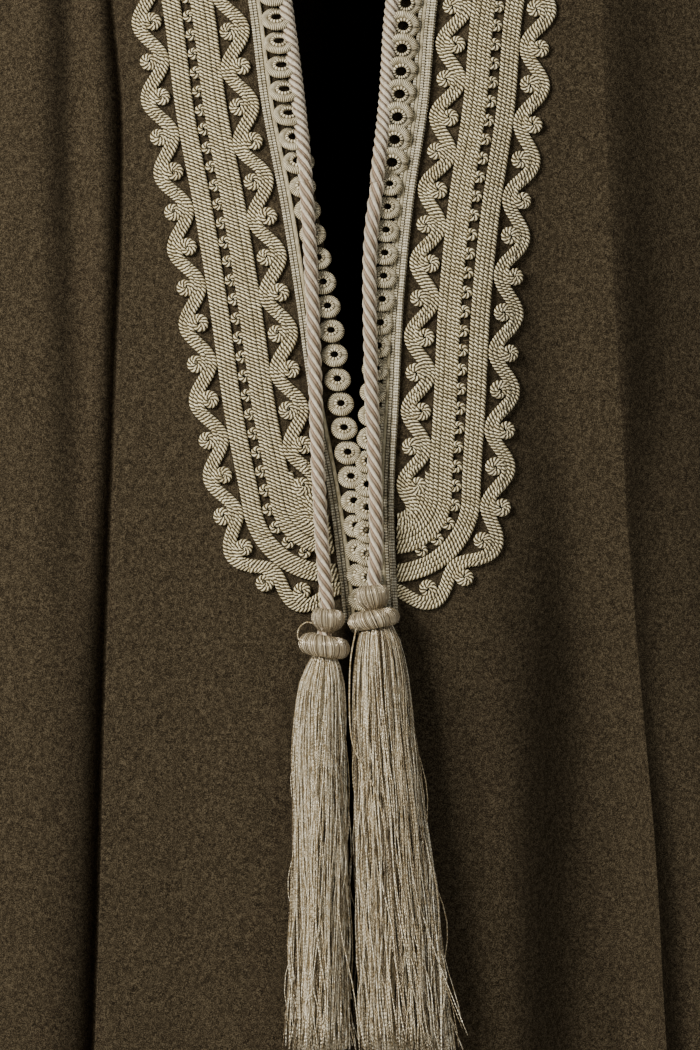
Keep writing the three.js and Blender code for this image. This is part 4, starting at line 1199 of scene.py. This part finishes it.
def silk_look():
    look = Look("tassel_silk", 0.26, 0.9, metallic=0.3)
    island = look.node("NewGeometry").outputs["Random Per Island"]
    strand = look.ramp(island, (0.0, (98, 82, 57)), (0.3, (192, 176, 142)), (1.0, (255, 246, 220)))
    along = look.around_and_along()[1]
    apart = look.math("MULTIPLY", island, 400.0)
    crimp = look.ridges(look.math("ADD", look.math("DIVIDE", along, 1.5), apart), 1)
    glint = look.streaks(look.math("ADD", look.math("DIVIDE", along, 3.0), apart), 1.0)
    shade = look.ramp(glint, (0.36, (196, 184, 160)), (0.6, (255, 255, 255)))
    return look.finish(look.multiply(0.9, strand, shade), (crimp, 0.17))


def plain_look(name, colour):
    return Look(name, 0.9, 0.1).finish((*linear(colour), 1))


# ---- the camera and the studio ----
CHEST = (-4.0, -107.0, -364.0)
CAMERA_AWAY = 1600.0
FRAME_HEIGHT = 420.0
SENSOR = 36.0


def place_camera():
    data = bpy.data.cameras.new("camera")
    data.sensor_fit = "VERTICAL"
    data.sensor_height = SENSOR
    data.sensor_width = SENSOR
    data.lens = SENSOR * CAMERA_AWAY / FRAME_HEIGHT
    camera = bpy.data.objects.new("camera", data)
    camera.location = np.array([CHEST[0], CHEST[1] - CAMERA_AWAY, CHEST[2]]) * MM
    camera.rotation_euler = (math.radians(90), 0, 0)
    bpy.context.scene.collection.objects.link(camera)
    bpy.context.scene.camera = camera


def area_light(name, place, size, power, colour=(1, 1, 1)):
    data = bpy.data.lights.new(name, "AREA")
    data.size = size
    data.energy = power
    data.color = colour
    lamp = bpy.data.objects.new(name, data)
    lamp.location = place
    aim = np.array(CHEST) * MM - np.array(place)
    lamp.rotation_euler = Vector(aim).to_track_quat("-Z", "Y").to_euler()
    bpy.context.scene.collection.objects.link(lamp)


def place_studio():
    area_light("key", (-1.1, -1.35, 0.4), 0.7, 66, (1, 0.98, 0.95))
    area_light("fill", (0.7, -1.8, -0.1), 0.9, 8, (0.95, 0.97, 1))
    area_light("back", (0.9, 2.2, 0.7), 1.4, 120)
    world = bpy.data.worlds.new("studio")
    world.use_nodes = True
    world.node_tree.nodes["Background"].inputs["Color"].default_value = (0.8, 0.82, 0.85, 1)
    world.node_tree.nodes["Background"].inputs["Strength"].default_value = 0.06
    bpy.context.scene.world = world
    reach, level = 3000.0, HEM_Z - 6
    corners = [(x * reach, y * reach, level) for x, y in ((-1, -1), (1, -1), (1, 1), (-1, 1))]
    floor = make_object("floor", np.array(corners), [[0, 1, 2, 3]])
    floor.data.materials.append(plain_look("floor", (214, 212, 206)))


# ---- the garment ----
def put_in_place(obj, node, look):
    obj.data.materials.append(look)
    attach(obj, "root")
    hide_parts(node)
    return obj


def make_ropes(side, look, wrapped, silk):
    tie, path = make_tie(side)
    tie_object = put_in_place(tie.build(f"free_rope_{side}"), f"tie_{side}", look)
    head, skirt = make_tassel(side)
    head_object = put_in_place(head.build(f"tassel_head_{side}"), f"tassel_{side}", wrapped)
    skirt_object = put_in_place(skirt.build(f"tassel_skirt_{side}"), f"tassel_{side}", silk)


def make_garment():
    wool, cord = wool_look(), cord_look()
    # Each thread look: its colour between the ribs, deepened there as painted shade, and the painted
    # highlight on the ribs.
    border = {
        "bright": bead_look("crochet", (178, 165, 132), (244, 237, 212), 7),
        "gimp": bead_look("gimp", (150, 138, 104), (216, 205, 170), 9),
    }
    # The stitched rings: painted shade between their wraps and a painted highlight on them.
    stitched = bead_look("stitched_ring", (126, 110, 78), (234, 223, 190), 0)
    rope_fabric, wrapped, silk = rope_look(), wrapped_look(), silk_look()
    for side in SIDES:
        make_ropes(side, rope_fabric, wrapped, silk)
    panels = [(make_front(), "front", "front"), (make_back(), "back", "back")]
    panels += [(make_sleeve(side), f"sleeve_{side}", "sleeve") for side in SIDES]
    for obj, node, kind in panels:
        put_in_place(obj, node, wool)
    for side in SIDES:
        inner = make_band(side, INNER_BAND)
        add_picots(inner, side)
        fill_corner(inner, side)
        pieces = {
            "outer_scroll": make_scroll(side, OUTER_SCROLL),
            "outer_band": make_band(side, OUTER_BAND),
            "inner_band": inner,
            "inner_scroll": make_scroll(side, INNER_SCROLL),
        }
        for name, shape in pieces.items():
            put_in_place(shape.build(f"{name}_cords_{side}"), f"{name}_{side}", cord)
        for kind, shape in make_braid(side).items():
            braid = shape.build(f"edge_{kind}_{side}")
            put_in_place(braid, f"edge_braid_{side}", border[kind])
        put_in_place(make_rings(side).build(f"rings_{side}"), f"ring_row_{side}", stitched)
        sewn = make_sewn_rope(side).build(f"sewn_rope_{side}")
        put_in_place(sewn, f"rope_{side}", rope_fabric)


place_camera()
place_studio()
make_garment()
